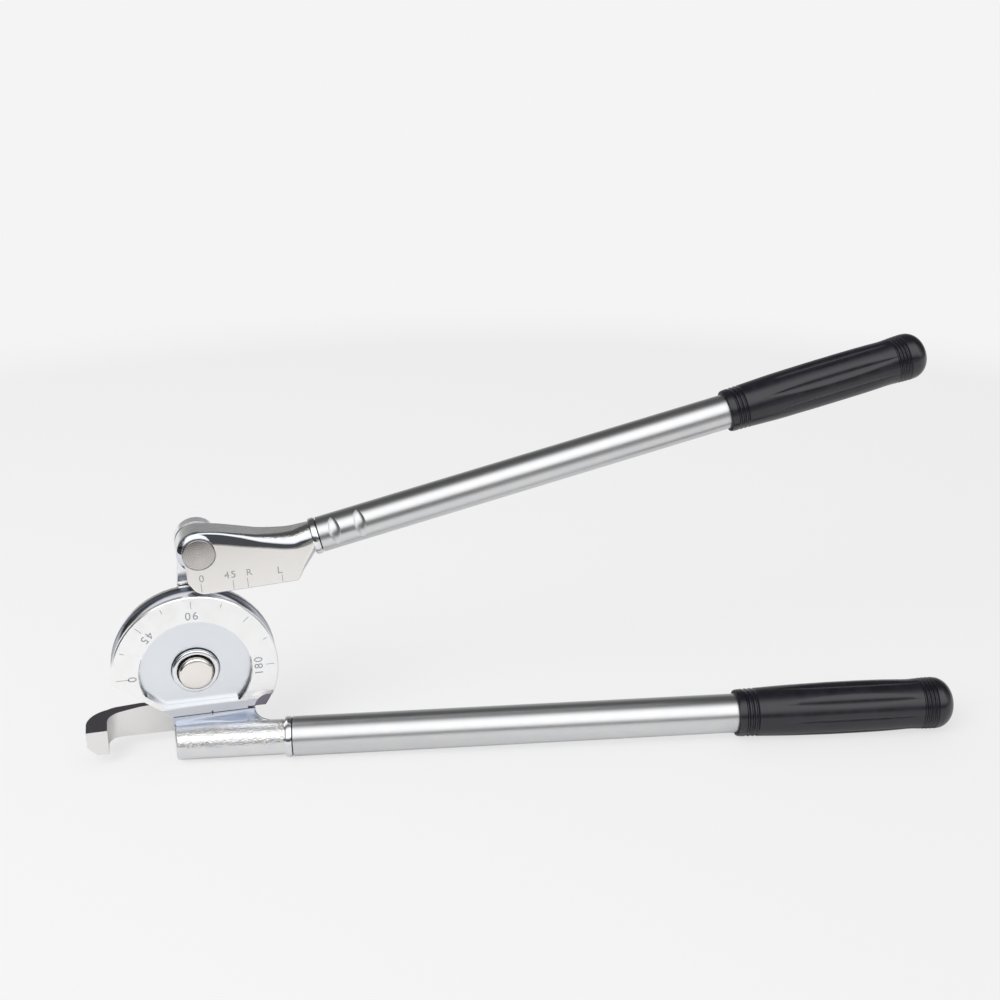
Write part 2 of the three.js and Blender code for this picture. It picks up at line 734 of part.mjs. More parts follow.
function diePieces() {
  const pieces = [
    named('bend_die', bendDie(), 'machined'),
    named('die_bushing', bushing(diePinRadius, dieBushingWall, pocketDepth + seatGap), 'bronze'),
    named('die_collar', ringAbout(diePinHeadRadius + runningGap, dieCollarRadius,
      pocketDepth - dieCollarRise, pocketDepth - seatGap), 'plated'),
    named('handle_socket', handleSocket(), 'forged'),
  ];
  dieScrewPlaces.forEach((x, i) => pieces.push(named(`die_screw_${i + 1}`, dieScrew(x), 'blackSteel')));
  return pieces;
}

// Where a tube ends inside its grip's blind bore
function tubeEnd(gripStart, gripLength, tubeRadius) {
  return gripStart + gripLength - gripCap - tubeShortfall - tubeRadius * gripBulgeShare;
}

function lowerHandle() {
  const handle = new THREE.Group();
  handle.applyMatrix4(lowerFrame);
  const end = tubeEnd(lowerGripStart, lowerGripLength, lowerTubeRadius);
  handle.add(
    named('lower_tube', handleTube(lowerTubeRadius, lowerBeadEnd + tubeGap, end, []), 'satin'),
    named('lower_grip', grip(lowerGripStart, lowerGripLength, lowerGripRadius, lowerTubeRadius), 'rubber'));
  return handle;
}

function upperHandle() {
  const handle = new THREE.Group();
  handle.applyMatrix4(upperFrame);
  const end = tubeEnd(upperGripStart, upperGripLength, upperTubeRadius);
  const crimps = [firstCrimp, firstCrimp + crimpPitch];
  handle.add(
    named('upper_tube', handleTube(upperTubeRadius, tubeGap, end, crimps), 'satin'),
    named('upper_grip', grip(upperGripStart, upperGripLength, upperGripRadius, upperTubeRadius), 'rubber'));
  return handle;
}

function latchPieces() {
  return [
    named('latch_hook', latchHook(), 'satin'),
    named('latch_washer', latchWasher(dieThickness + runningGap), 'plated'),
    named('latch_spring_washer', latchWasher(latchFar + runningGap), 'plated'),
    named('latch_screw', latchScrew(), 'blackSteel'),
  ];
}

function headPieces() {
  const head = new THREE.Group();
  head.rotation.y = -headTurn;
  head.add(named('shoe_head', shoeHead(), 'forged'),
    named('head_bushing', bushing(headPinRadius, headBushingWall, headPinHeadDepth + seatGap), 'bronze'),
    upperHandle());
  return head;
}

function linkPieces() {
  const link = new THREE.Group();
  link.rotation.y = linkLean;
  const upper = new THREE.Group();
  upper.position.z = linkLength;
  upper.add(named('head_pin', headPin(), 'plated'),
    named('head_pin_ring', retainingRing(headPinRadius), 'blackSteel'),
    named('head_thrust_washer', thrustWasher(headPinRadius), 'plated'));
  link.add(named('link_arm', linkArm(), 'satin'),
    named('die_pin', diePin(), 'plated'),
    named('die_pin_ring', retainingRing(diePinRadius), 'blackSteel'),
    named('die_thrust_washer', thrustWasher(diePinRadius), 'plated'), upper);
  return link;
}

function bender() {
  const tool = new THREE.Group();
  const head = headPieces();
  head.position.set(linkLength * Math.sin(linkLean), 0, linkLength * Math.cos(linkLean));
  tool.add(...diePieces(), lowerHandle(), ...latchPieces(), linkPieces(), head);
  const box = new THREE.Box3().setFromObject(tool, true);
  tool.position.set(-(box.min.x + box.max.x) / 2, -(box.min.y + box.max.y) / 2, -box.min.z);
  return tool;
}

const group = new THREE.Group();
group.add(bender());
export default group;
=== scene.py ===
"""Looks of a lever tube bender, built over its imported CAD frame.

The classes hold real sizes in millimetres, in one of three frames: the die's, whose origin is on the
die's axis in its front face with X along the lower handle, Y to the back and Z up; the head's, whose
origin is on the head's pin and which turns with the head; and a handle's, with X along its tube.
Meshes are made in the row frame, in metres.
"""
import json
import logging
import math
from abc import ABC, abstractmethod
from collections.abc import Callable, Sequence
from dataclasses import dataclass
from enum import Enum

import bmesh
import bpy
from mathutils import Matrix, Vector


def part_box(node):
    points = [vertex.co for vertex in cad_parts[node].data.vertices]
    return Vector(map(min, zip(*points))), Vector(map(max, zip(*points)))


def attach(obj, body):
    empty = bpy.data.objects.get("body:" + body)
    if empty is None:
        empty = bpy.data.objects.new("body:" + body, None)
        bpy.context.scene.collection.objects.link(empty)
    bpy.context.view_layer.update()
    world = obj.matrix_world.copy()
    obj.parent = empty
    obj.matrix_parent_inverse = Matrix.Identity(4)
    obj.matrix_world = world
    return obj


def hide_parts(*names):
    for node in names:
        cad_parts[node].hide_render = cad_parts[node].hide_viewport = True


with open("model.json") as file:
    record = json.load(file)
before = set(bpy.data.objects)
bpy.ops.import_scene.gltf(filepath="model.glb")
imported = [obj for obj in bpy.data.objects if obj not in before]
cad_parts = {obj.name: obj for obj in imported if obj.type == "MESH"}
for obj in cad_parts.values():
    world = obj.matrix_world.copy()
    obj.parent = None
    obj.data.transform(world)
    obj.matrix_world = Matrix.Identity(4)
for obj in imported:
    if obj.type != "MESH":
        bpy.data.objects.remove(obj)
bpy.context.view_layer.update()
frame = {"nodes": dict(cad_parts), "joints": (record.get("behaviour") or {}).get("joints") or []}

log = logging.getLogger("tube_bender")

Piece = bpy.types.Object
Socket = bpy.types.NodeSocket
Tree = bpy.types.NodeTree
Pair = tuple[float, float]

MM = 0.001
DIE_THICKNESS = 20.0
BEND_RADIUS = 50.8
LINK_LENGTH = 80.0
CHANNEL_RADIUS = 6.5
BEAD_LENGTH = 4.3
TUBE_GAP = 0.6
TOLERANCE = 0.01
ROUND_SIDES = 128


class Body(Enum):
    """The CAD bodies that a piece can ride on."""

    LOWER = "lower_handle"
    LINK = "link"
    UPPER = "upper_handle"
    LATCH = "latch"


class Look(Enum):
    """The finishes that a piece can have."""

    MACHINED = "machined"
    FORGED = "forged"
    SOCKET = "socket"
    SATIN = "satin"
    BRIGHT = "bright"
    PLATE = "plate"
    LATCH = "latch"
    DIE_PIN = "die_pin"
    HEAD_PIN = "head_pin"
    BRONZE = "bronze"
    BLACK = "black"
    # Painted shade: black for joints, gaps and seams where shade falls.
    PAINTED_SHADE = "oil"
    MARK = "mark"
    RUBBER = "rubber"


class Way(Enum):
    """How two closed meshes are combined."""

    JOIN = "UNION"
    CUT = "DIFFERENCE"
    COMMON = "INTERSECT"


# Places


def joint_place(name: str) -> Vector:
    """Where a joint turns, in the row frame, in metres."""
    return Vector(next(j["pos_m"] for j in frame["joints"] if j["name"] == name))


@dataclass(frozen=True)
class Places:
    """The frames that sizes are written in, as matrices from millimetres to the row frame.

    Angles are in degrees.
    """

    head_turn: float = 3.3
    lower_yaw: float = 9.9
    lower_pitch: float = 0.66
    lower_forward: float = 4.5
    lower_drop: float = 46.75
    upper_yaw: float = 3.5
    upper_pitch: float = 10.6
    upper_forward: float = 74.9
    upper_drop: float = 2.8

    def on_axis(self, joint: str) -> Matrix:
        """A frame on a joint's axis, in the plane of the die's front face."""
        axis = joint_place(joint)
        return Matrix.Translation((axis.x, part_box("bend_die")[0].y, axis.z)) @ Matrix.Scale(MM, 4)

    def die(self) -> Matrix:
        """The die's frame."""
        return self.on_axis("link_swing")

    def head(self) -> Matrix:
        """The head's frame."""
        return self.on_axis("head_pivot") @ Matrix.Rotation(-math.radians(self.head_turn), 4, "Y")

    def handle(self, start: Vector, pitch: float, yaw: float) -> Matrix:
        """A handle's frame within the one that carries it."""
        turn = Matrix.Rotation(-math.radians(yaw), 4, "Z") @ Matrix.Rotation(-math.radians(pitch), 4, "Y")
        return Matrix.Translation(start) @ turn

    def lower_handle(self) -> Matrix:
        """The lower handle's frame."""
        start = Vector((0, -self.lower_forward, -self.lower_drop))
        return self.die() @ self.handle(start, self.lower_pitch, self.lower_yaw)

    def upper_handle(self) -> Matrix:
        """The upper handle's frame."""
        start = Vector((self.upper_forward, DIE_THICKNESS / 2, -self.upper_drop))
        return self.head() @ self.handle(start, self.upper_pitch, self.upper_yaw)


# Meshes


def in_scene(name: str, data: bpy.types.ID) -> Piece:
    """Puts a mesh, curve, lamp or camera in the scene.

    Args:
        name: the new object's name.
        data: what it shows.

    Returns:
        The object.
    """
    piece = bpy.data.objects.new(name, data)
    bpy.context.scene.collection.objects.link(piece)
    return piece


def add_piece(name: str, points: Sequence[Vector], faces: Sequence[Sequence[int]], place: Matrix) -> Piece:
    """Makes a closed mesh piece.

    Args:
        name: the piece's name.
        points: its corners, in the frame of place.
        faces: its faces, as indices of corners.
        place: the frame of the points.

    Returns:
        The piece, with its faces pointing out.
    """
    mesh = bpy.data.meshes.new(name)
    mesh.from_pydata([place @ Vector(p) for p in points], [], faces)
    shape = bmesh.new()
    shape.from_mesh(mesh)
    bmesh.ops.remove_doubles(shape, verts=shape.verts, dist=1e-7)
    bmesh.ops.recalc_face_normals(shape, faces=shape.faces)
    shape.to_mesh(mesh)
    shape.free()
    return in_scene(name, mesh)


def skin(rings: Sequence[Sequence[Vector]], ends: bool = True) -> tuple[list[Vector], list[list[int]]]:
    """Stretches a skin over rings of equally many points.

    Args:
        rings: the rings, in order.
        ends: whether each end gets a face; otherwise the last ring is joined to the first.

    Returns:
        The points and the faces.
    """
    count = len(rings[0])
    points = [point for ring in rings for point in ring]
    faces = []
    for r in range(len(rings) - 1 if ends else len(rings)):
        for i in range(count):
            a, b = r * count + i, r * count + (i + 1) % count
            faces.append([a, b, (b + count) % len(points), (a + count) % len(points)])
    if ends:
        faces.append(list(range(count)))
        faces.append([len(points) - 1 - i for i in range(count)])
    return points, faces


def turned(
    name: str, profile: Sequence[Pair], place: Matrix, sides: int,
    radius_at: Callable[[float, float, float], float] | None = None,
) -> Piece:
    """Turns a closed profile about the X axis of a frame.

    Args:
        name: the piece's name.
        profile: corners as (place along X, radius). A profile that starts and ends off the axis closes
            on itself as a tube.
        place: the frame.
        sides: how many sides the round has.
        radius_at: gives the radius from (along, angle, radius), with the angle from the top towards
            the front, in radians.

    Returns:
        The piece.
    """
    rings = []
    for along, radius in profile:
        ring = []
        for i in range(sides):
            angle = math.tau * i / sides
            size = radius_at(along, angle, radius) if radius_at else radius
            ring.append(Vector((along, -size * math.sin(angle), size * math.cos(angle))))
        rings.append(ring)
    points, faces = skin(rings, ends=False)
    if max(profile[0][1], profile[-1][1]) < 1e-6:
        faces = faces[:-sides]
    return add_piece(name, points, faces, place)


def slab(name: str, outline: Sequence[Pair], near: float, far: float, place: Matrix) -> Piece:
    """Gives an outline in the X-Z plane a thickness from near to far along Y."""
    rings = [[Vector((x, y, z)) for x, z in outline] for y in (near, far)]
    return add_piece(name, *skin(rings), place)


def bar(name: str, outline: Sequence[Pair], left: float, right: float, place: Matrix) -> Piece:
    """Runs an outline in the Y-Z plane along X from left to right."""
    rings = [[Vector((x, y, z)) for y, z in outline] for x in (left, right)]
    return add_piece(name, *skin(rings), place)


def rod(
    name: str, radius: float, start: Sequence[float], end: Sequence[float], place: Matrix, sides: int = 96,
) -> Piece:
    """A round rod.

    Args:
        name: its name.
        radius: its radius.
        start: the middle of its first end.
        end: the middle of its other end.
        place: the frame of both.
        sides: how many sides the round has.

    Returns:
        The rod.
    """
    reach = Vector(end) - Vector(start)
    turn = reach.to_track_quat("X", "Z").to_matrix().to_4x4()
    profile = [(0, 0), (0, radius), (reach.length, radius), (reach.length, 0)]
    return turned(name, profile, place @ Matrix.Translation(start) @ turn, sides)


def arc(x: float, z: float, radius: float, start: float, end: float, steps: int) -> list[Pair]:
    """Points on an arc from one angle to another, in degrees."""
    turns = [math.radians(start + (end - start) * i / steps) for i in range(steps + 1)]
    return [(x + radius * math.cos(t), z + radius * math.sin(t)) for t in turns]


def evaluated_mesh(piece: Piece) -> bpy.types.Mesh:
    """A piece's mesh with its modifiers applied, or the mesh of a text."""
    bpy.context.view_layer.update()
    return bpy.data.meshes.new_from_object(piece.evaluated_get(bpy.context.evaluated_depsgraph_get()))


def bake(piece: Piece) -> None:
    """Applies a piece's modifiers to its mesh.

    Args:
        piece: the piece.
    """
    mesh = evaluated_mesh(piece)
    piece.modifiers.clear()
    piece.data = mesh


def combine(piece: Piece, tools: Sequence[Piece], way: Way) -> None:
    """Joins tools to a piece or cuts them from it, one by one, and removes them.

    Args:
        piece: the piece.
        tools: the closed meshes that are combined with it.
        way: how.
    """
    for tool in tools:
        step = piece.modifiers.new("combine", "BOOLEAN")
        step.operation = way.value
        step.solver = "EXACT"
        step.object = tool
        bake(piece)
        bpy.data.objects.remove(tool)


def forge(
    piece: Piece, voxel: float, passes: int, crisp_above: float | None = None, fade: float = 2.0,
) -> None:
    """Rounds a piece's edges and inner corners as a forging die does.

    Args:
        piece: the piece.
        voxel: the size of its new faces, in millimetres.
        passes: how often they are smoothed.
        crisp_above: the height in the row frame, in metres, above which edges stay crisp.
        fade: how far below it the rounding reaches its full size, in millimetres.
    """
    remesh = piece.modifiers.new("remesh", "REMESH")
    remesh.mode = "VOXEL"
    remesh.voxel_size = voxel * MM
    bake(piece)
    smooth = piece.modifiers.new("smooth", "SMOOTH")
    smooth.factor = 0.5
    smooth.iterations = passes
    if crisp_above is not None:
        worn = piece.vertex_groups.new(name="worn")
        for vertex in piece.data.vertices:
            share = (crisp_above - vertex.co.z) / (fade * MM)
            worn.add([vertex.index], min(max(share, 0), 1), "REPLACE")
        smooth.vertex_group = "worn"
    bake(piece)
    piece.vertex_groups.clear()
    piece.data.shade_smooth()


def smooth_shaded(piece: Piece, sharp: float) -> Piece:
    """Shades a piece smooth, apart from its sharp edges.

    Args:
        piece: the piece.
        sharp: the angle from which an edge is sharp, in degrees.

    Returns:
        The piece.
    """
    piece.data.shade_smooth()
    piece.data.set_sharp_from_angle(angle=math.radians(sharp))
    return piece


def eased_curve(knots: Sequence[Sequence[float]], steps: int = 8) -> list[list[float]]:
    """Runs smooth curves through rows of numbers.

    Args:
        knots: rows of equally many numbers; the first number of each grows from row to row.
        steps: how many rows are made for each stretch between two knots.

    Returns:
        The rows on the curves, which never swing past the knots.
    """
    chords = [[(q - p) / (after[0] - before[0]) for p, q in zip(before, after, strict=True)]
              for before, after in zip(knots, knots[1:])]
    slopes = [chords[0]]
    for before, after in zip(chords, chords[1:]):
        slopes.append([2 * m * n / (m + n) if m * n > 0 else 0.0 for m, n in zip(before, after, strict=True)])
    slopes.append(chords[-1])
    rows = []
    for i, (start, end) in enumerate(zip(knots, knots[1:])):
        gap = end[0] - start[0]
        for s in range(steps):
            t = s / steps
            a, b = 2 * t**3 - 3 * t**2 + 1, t**3 - 2 * t**2 + t
            c, d = 3 * t**2 - 2 * t**3, t**3 - t**2
            rows.append([a * p + b * gap * m + c * q + d * gap * n
                         for p, q, m, n in zip(start, end, slopes[i], slopes[i + 1], strict=True)])
    return [*rows, list(knots[-1])]


# Finishes


def linear(colour: str) -> tuple[float, float, float, float]:
    """An sRGB hex colour as linear red, green, blue and alpha."""
    shares = [int(colour[i:i + 2], 16) / 255 for i in (1, 3, 5)]
    return (*(s / 12.92 if s <= 0.04045 else ((s + 0.055) / 1.055) ** 2.4 for s in shares), 1.0)


def empty_tree(owner: bpy.types.Material | bpy.types.World) -> Tree:
    """Clears the node tree of a material or a world.

    Args:
        owner: the material or world.

    Returns:
        The tree.
    """
    owner.use_nodes = True
    owner.node_tree.nodes.clear()
    return owner.node_tree


def add_node(
    tree: Tree, kind: str, inputs: dict[str | int, object] | None = None, output: str | int = 0,
    **settings: object,
) -> Socket | None:
    """Adds a node with its settings and links.

    Args:
        tree: the tree that gets the node.
        kind: the node's type, as it stands behind ShaderNode.
        inputs: values, or sockets to link, for its inputs.
        output: the output that is used.
        settings: the node's properties.

    Returns:
        The output, or None for a node that ends its tree.
    """
    node = tree.nodes.new(f"ShaderNode{kind}")
    for name, value in settings.items():
        setattr(node, name, value)
    for name, value in (inputs or {}).items():
        if isinstance(value, Socket):
            tree.links.new(value, node.inputs[name])
        else:
            node.inputs[name].default_value = value
    return node.outputs[output] if node.outputs else None


# A Map Range node with these settings eases its value from one end to the other.
EASED = {"interpolation_type": "SMOOTHSTEP"}


# Most of a noise lies between these values, which are spread over a finish's whole range.
NOISE_RANGE = {"From Min": 0.35, "From Max": 0.65}


@dataclass(frozen=True)
class Zone:
    """Where a finish changes: a ring round an axis, between two depths behind the die's front face.

    Sizes are in millimetres. The shift moves the axis to the right and up from the die's, and grain is
    the share of the finish's relief that is left.
    """

    colour: str
    roughness: float
    grain: float
    depth: Pair
    radius: Pair = (0.0, 900.0)
    shift: Pair = (0.0, 0.0)

    def share(self, tree: Tree, place: Socket) -> Socket:
        """One inside the zone and nought outside.

        Args:
            tree: the material's tree.
            place: the point, in the row frame.

        Returns:
            The share.
        """
        origin = Places().die() @ Vector((self.shift[0], 0, self.shift[1]))
        offset = add_node(tree, "VectorMath", {0: place, 1: origin}, operation="SUBTRACT")
        depth = add_node(tree, "SeparateXYZ", {0: offset}, "Y")
        flat = add_node(tree, "VectorMath", {0: offset, 1: (1.0, 0.0, 1.0)}, operation="MULTIPLY")
        radius = add_node(tree, "VectorMath", {0: flat}, "Value", operation="LENGTH")
        inside = {}
        for i, (value, (low, high)) in enumerate(((depth, self.depth), (radius, self.radius))):
            span = {0: value, 1: (low + high) / 2 * MM, 2: (high - low) / 2 * MM}
            inside[i] = add_node(tree, "Math", span, operation="COMPARE")
        return add_node(tree, "Math", inside, operation="MULTIPLY")


@dataclass(frozen=True)
class Finish(ABC):
    """A finish of two near colours with a grain. Sizes are in millimetres."""

    name: str
    colour: str
    tint: str
    roughness: float
    grain: float
    grain_height: float

    @abstractmethod
    def look(self, tree: Tree, place: Socket) -> dict[str, object]:
        """What sets the finish apart.

        Args:
            tree: the material's tree.
            place: the point, in the row frame.

        Returns:
            The height of its relief and the inputs of its shader.
        """

    def material(self) -> bpy.types.Material:
        """Makes the finish's material.

        Returns:
            The material.
        """
        material = bpy.data.materials.new(self.name)
        tree = empty_tree(material)
        look = self.look(tree, add_node(tree, "TexCoord", output="Object"))
        relief = {"Height": look.pop("Height"), "Distance": self.grain_height * MM}
        shader = add_node(tree, "BsdfPrincipled", {**look, "Normal": add_node(tree, "Bump", relief)})
        add_node(tree, "OutputMaterial", {"Surface": shader})
        return material

    def blend(self, tree: Tree, share: Socket) -> Socket:
        """The colour where it has this share of the tint."""
        colours = {0: share, 6: linear(self.colour), 7: linear(self.tint)}
        return add_node(tree, "Mix", colours, 2, data_type="RGBA")


@dataclass(frozen=True)
class PlatedSteel(Finish):
    """Steel under bright zinc plate.

    The plate gives a pale mirror that is clouded between bluish and warm, and the surface under it
    gives the grain.
    """

    roughness_spread: float
    cloud: float
    zones: tuple[Zone, ...] = ()

    def look(self, tree: Tree, place: Socket) -> dict[str, object]:
        """Clouds and grain, changed zone by zone.

        Args:
            tree: the material's tree.
            place: the point, in the row frame.

        Returns:
            The height of its relief and the inputs of its shader.
        """
        clouds = add_node(tree, "TexNoise", {"Vector": place, "Scale": 1 / (self.cloud * MM), "Detail": 3})
        smears = add_node(tree, "TexNoise", {"Vector": place, "Scale": 2 / (self.cloud * MM)})
        height = add_node(tree, "TexNoise", {"Vector": place, "Scale": 1 / (self.grain * MM)})
        colour = self.blend(tree, add_node(tree, "MapRange", {**NOISE_RANGE, "Value": clouds}, **EASED))
        worn = {**NOISE_RANGE, "Value": smears, "To Min": self.roughness - self.roughness_spread,
                "To Max": self.roughness + self.roughness_spread}
        roughness = add_node(tree, "MapRange", worn, **EASED)
        for zone in self.zones:
            share = zone.share(tree, place)
            colours = {0: share, 6: colour, 7: linear(zone.colour)}
            colour = add_node(tree, "Mix", colours, 2, data_type="RGBA")
            roughness = add_node(tree, "Mix", {0: share, 2: roughness, 3: zone.roughness})
            grain = add_node(tree, "Mix", {0: share, 2: 1.0, 3: zone.grain})
            height = add_node(tree, "Math", {0: height, 1: grain}, operation="MULTIPLY")
        return {"Base Color": colour, "Metallic": 1.0, "Roughness": roughness, "Height": height}


@dataclass(frozen=True)
class TurnedSteel(Finish):
    """Bright steel with the rings that a lathe tool leaves round a joint's axis, one for each grain."""

    joint: str
    drag: float = 0.45
    wobble: float = 0.4
    spread: Pair = (-0.03, 0.05)

    def look(self, tree: Tree, place: Socket) -> dict[str, object]:
        """Rings that drag the light round the axis.

        Args:
            tree: the material's tree.
            place: the point, in the row frame.

        Returns:
            The height of its relief and the inputs of its shader.
        """
        offset = add_node(tree, "Mapping", {"Vector": place, "Location": -joint_place(self.joint)})
        # A real tool mark is about 0.2 mm wide. It is drawn coarser, so that it shows.
        wave = {"Vector": offset, "Scale": math.pi / (10 * self.grain * MM), "Distortion": self.wobble}
        rings = add_node(tree, "TexWave", wave, "Fac", wave_type="RINGS", rings_direction="Y")
        low, high = self.spread
        worn = {"Value": rings, "To Min": self.roughness + low, "To Max": self.roughness + high}
        around = add_node(tree, "VectorMath", {0: offset, 1: (0.0, 1.0, 0.0)}, operation="CROSS_PRODUCT")
        return {
            "Base Color": self.blend(tree, rings), "Metallic": 1.0, "Height": rings,
            "Roughness": add_node(tree, "MapRange", worn, **EASED),
            "Anisotropic": self.drag, "Tangent": around}


@dataclass(frozen=True)
class BarShadedAboveAndBelow(Finish):
    """Plated flat bar whose cut edges, above and below, stay dull and get the tint as painted shade.

    Facing says how far up or down a face has to look to count as an edge.
    """

    edge_roughness: float
    facing: Pair = (0.45, 0.8)

    def look(self, tree: Tree, place: Socket) -> dict[str, object]:
        """Painted shade: another, darker tone where the bar faces up or down.

        Args:
            tree: the material's tree.
            place: the point, in the row frame.

        Returns:
            The height of its relief and the inputs of its shader.
        """
        normal = add_node(tree, "NewGeometry", output="True Normal")
        upward = add_node(tree, "SeparateXYZ", {0: normal}, "Z")
        steep = add_node(tree, "Math", {0: upward}, operation="ABSOLUTE")
        start, end = self.facing
        # The faces that look up or down get the painted shade.
        edge = add_node(tree, "MapRange", {"Value": steep, "From Min": start, "From Max": end}, **EASED)
        dull = {"Value": edge, "To Min": self.roughness, "To Max": self.edge_roughness}
        return {
            "Base Color": self.blend(tree, edge), "Metallic": 1.0,
            "Roughness": add_node(tree, "MapRange", dull, **EASED),
            "Height": add_node(tree, "TexNoise", {"Vector": place, "Scale": 1 / (self.grain * MM)})}


@dataclass(frozen=True)
class PlainMetal(Finish):
    """A metal of one colour with a fine grain, for bushes and screws."""

    metallic: float
    spread: Pair = (-0.05, 0.1)

    def look(self, tree: Tree, place: Socket) -> dict[str, object]:
        """A grain that also turns the tone.

        Args:
            tree: the material's tree.
            place: the point, in the row frame.

        Returns:
            The height of its relief and the inputs of its shader.
        """
        grains = add_node(tree, "TexNoise", {"Vector": place, "Scale": 1 / (self.grain * MM)})
        tone = {**NOISE_RANGE, "Value": grains}
        low, high = self.spread
        worn = {**tone, "To Min": self.roughness + low, "To Max": self.roughness + high}
        return {
            "Base Color": self.blend(tree, add_node(tree, "MapRange", tone, **EASED)),
            "Metallic": self.metallic, "Height": grains,
            "Roughness": add_node(tree, "MapRange", worn, **EASED)}


@dataclass(frozen=True)
class MouldedVinyl(Finish):
    """Moulded vinyl with a soft gloss and a fine skin."""

    roughness_spread: float
    cloud: float
    ior: float = 1.6

    def look(self, tree: Tree, place: Socket) -> dict[str, object]:
        """Faint clouds over a fine skin.

        Args:
            tree: the material's tree.
            place: the point, in the row frame.

        Returns:
            The height of its relief and the inputs of its shader.
        """
        clouds = add_node(tree, "TexNoise", {"Vector": place, "Scale": 1 / (self.cloud * MM), "Detail": 3})
        tone = {**NOISE_RANGE, "Value": clouds}
        worn = {**tone, "To Min": self.roughness - self.roughness_spread,
                "To Max": self.roughness + self.roughness_spread}
        return {
            "Base Color": self.blend(tree, add_node(tree, "MapRange", tone, **EASED)),
            "IOR": self.ior, "Roughness": add_node(tree, "MapRange", worn, **EASED),
            "Height": add_node(tree, "TexNoise", {"Vector": place, "Scale": 1 / (self.grain * MM)})}


def finishes() -> dict[Look, bpy.types.Material]:
    """Makes every finish of the tool once.

    Returns:
        The material of each look.
    """
    machined = (
        # The groove is polished by the tubes that are bent round it; its darker colour is painted shade in
        # the channel.
        Zone("#b3b6be", 0.13, 1.0, (3.4, 16.6), (43.5, 60.0)),
        # The pocket's floor is milled and bluish, and its wall is painted dark as shade.
        Zone("#ebeff4", 0.28, 1.0, (4.0, 6.0), (0.0, 36.0)),
        Zone("#3c3f47", 0.40, 1.0, (0.3, 4.4), (34.0, 35.6)),
        # A ring of painted shade lies round the collar's foot.
        Zone("#5e626c", 0.40, 1.0, (4.0, 6.0), (14.0, 15.3)),
        # The strip between the pocket and the seam is greyer than the dial.
        Zone("#d6d8e0", 0.28, 1.0, (-0.1, 2.6), (0.0, 506.3), (8.0, -530.0)),
        # The scallop is darker and duller than the dial, and takes a much coarser grain.
        Zone("#85818b", 0.38, 30.0, (0.2, 2.6), (0.0, 9.7), (44.4, -31.5)),
    )
    # The head's cheek is milled flat, and the band over it is polished; the band's darker, bluish tint is a
    # painted reflection.
    head = (Zone("#f6f3f0", 0.26, 0.012, (-0.5, 0.08)), Zone("#d6d9e2", 0.07, 0.05, (0.08, 2.4)))
    # The block's front face is milled down to the neck.
    socket = (Zone("#d2dae8", 0.28, 0.03, (-0.1, 1.25), (0.0, 509.5), (0.0, 470.0)),)
    kinds = {
        # Ground and plated faces: near white, a soft mirror with faint clouds.
        Look.MACHINED: PlatedSteel(
            "ground_zinc_plated_steel", "#fdfdfe", "#fbfbfa", 0.25, 0.5, 0.002, 0.015, 14, machined),
        # Drop-forged and plated: the scale leaves fine pebbles that sparkle at the highlights.
        Look.FORGED: PlatedSteel(
            "forged_zinc_plated_steel", "#efeeed", "#eaebee", 0.13, 1.2, 0.2, 0.02, 9, head),
        Look.SOCKET: PlatedSteel(
            "forged_zinc_plated_socket", "#efeeed", "#eaebee", 0.2, 1.15, 0.36, 0.03, 9, socket),
        # Drawn and plated tube: an even satin grain that breaks the edges of each reflection.
        Look.SATIN: PlatedSteel("satin_zinc_plated_tube", "#dfdfdf", "#dcdddf", 0.31, 0.5, 0.012, 0.01, 14),
        # Turned beads and the collar: a clean bright ring.
        Look.BRIGHT: PlatedSteel("bright_zinc_plated_steel", "#eff0f1", "#ebecef", 0.12, 0.5, 0.002, 0.02, 6),
        # Rolled plate of the link: flat, even and brighter than the forgings.
        Look.PLATE: PlatedSteel("rolled_zinc_plated_plate", "#fafafb", "#f5f6f8", 0.19, 0.5, 0.006, 0.03, 10),
        # Sheared bar of the latch: a pale side between two edges painted dark as shade.
        Look.LATCH: BarShadedAboveAndBelow("zinc_plated_bar_shaded_above_and_below", "#efeeed", "#858288", 0.36, 0.5, 0.006, 0.5),
        # Turned pin ends: warm bare steel whose rings draw a soft fan of light.
        Look.DIE_PIN: TurnedSteel(
            "turned_steel_die_pin", "#f6f1ed", "#eee9e5", 0.14, 1.1, 0.014, "link_swing"),
        Look.HEAD_PIN: TurnedSteel(
            "turned_steel_head_pin", "#cbc7c5", "#c5c1bf", 0.25, 1.1, 0.007, "head_pivot"),
        # Sintered bronze: brownish gold, dull from its pores.
        Look.BRONZE: PlainMetal("sintered_bronze", "#b98b55", "#9c7342", 0.45, 0.3, 0.01, 1.0),
        # Black oxide on steel: a dark, slightly oily skin.
        Look.BLACK: PlainMetal("black_oxide_steel", "#2c2c2f", "#232326", 0.42, 0.4, 0.006, 0.8),
        # Painted shade: black and dull, for joints, gaps and the seam where shade falls.
        Look.PAINTED_SHADE: PlainMetal("painted_shade_in_joint", "#0e0e10", "#16161a", 0.6, 0.4, 0.004, 0.0),
        # The floor of a stamped mark: a dull grey that the plate doesn't brighten.
        Look.MARK: PlainMetal("stamped_mark", "#a3a5aa", "#b4b5b9", 0.55, 0.4, 0.01, 0.7),
        # Moulded vinyl of the grips: near black and bluish, with soft highlights along the flutes.
        Look.RUBBER: MouldedVinyl("moulded_vinyl_grip", "#18171e", "#1e1d26", 0.25, 0.45, 0.012, 0.02, 9.0),
    }
    return {look: kind.material() for look, kind in kinds.items()}


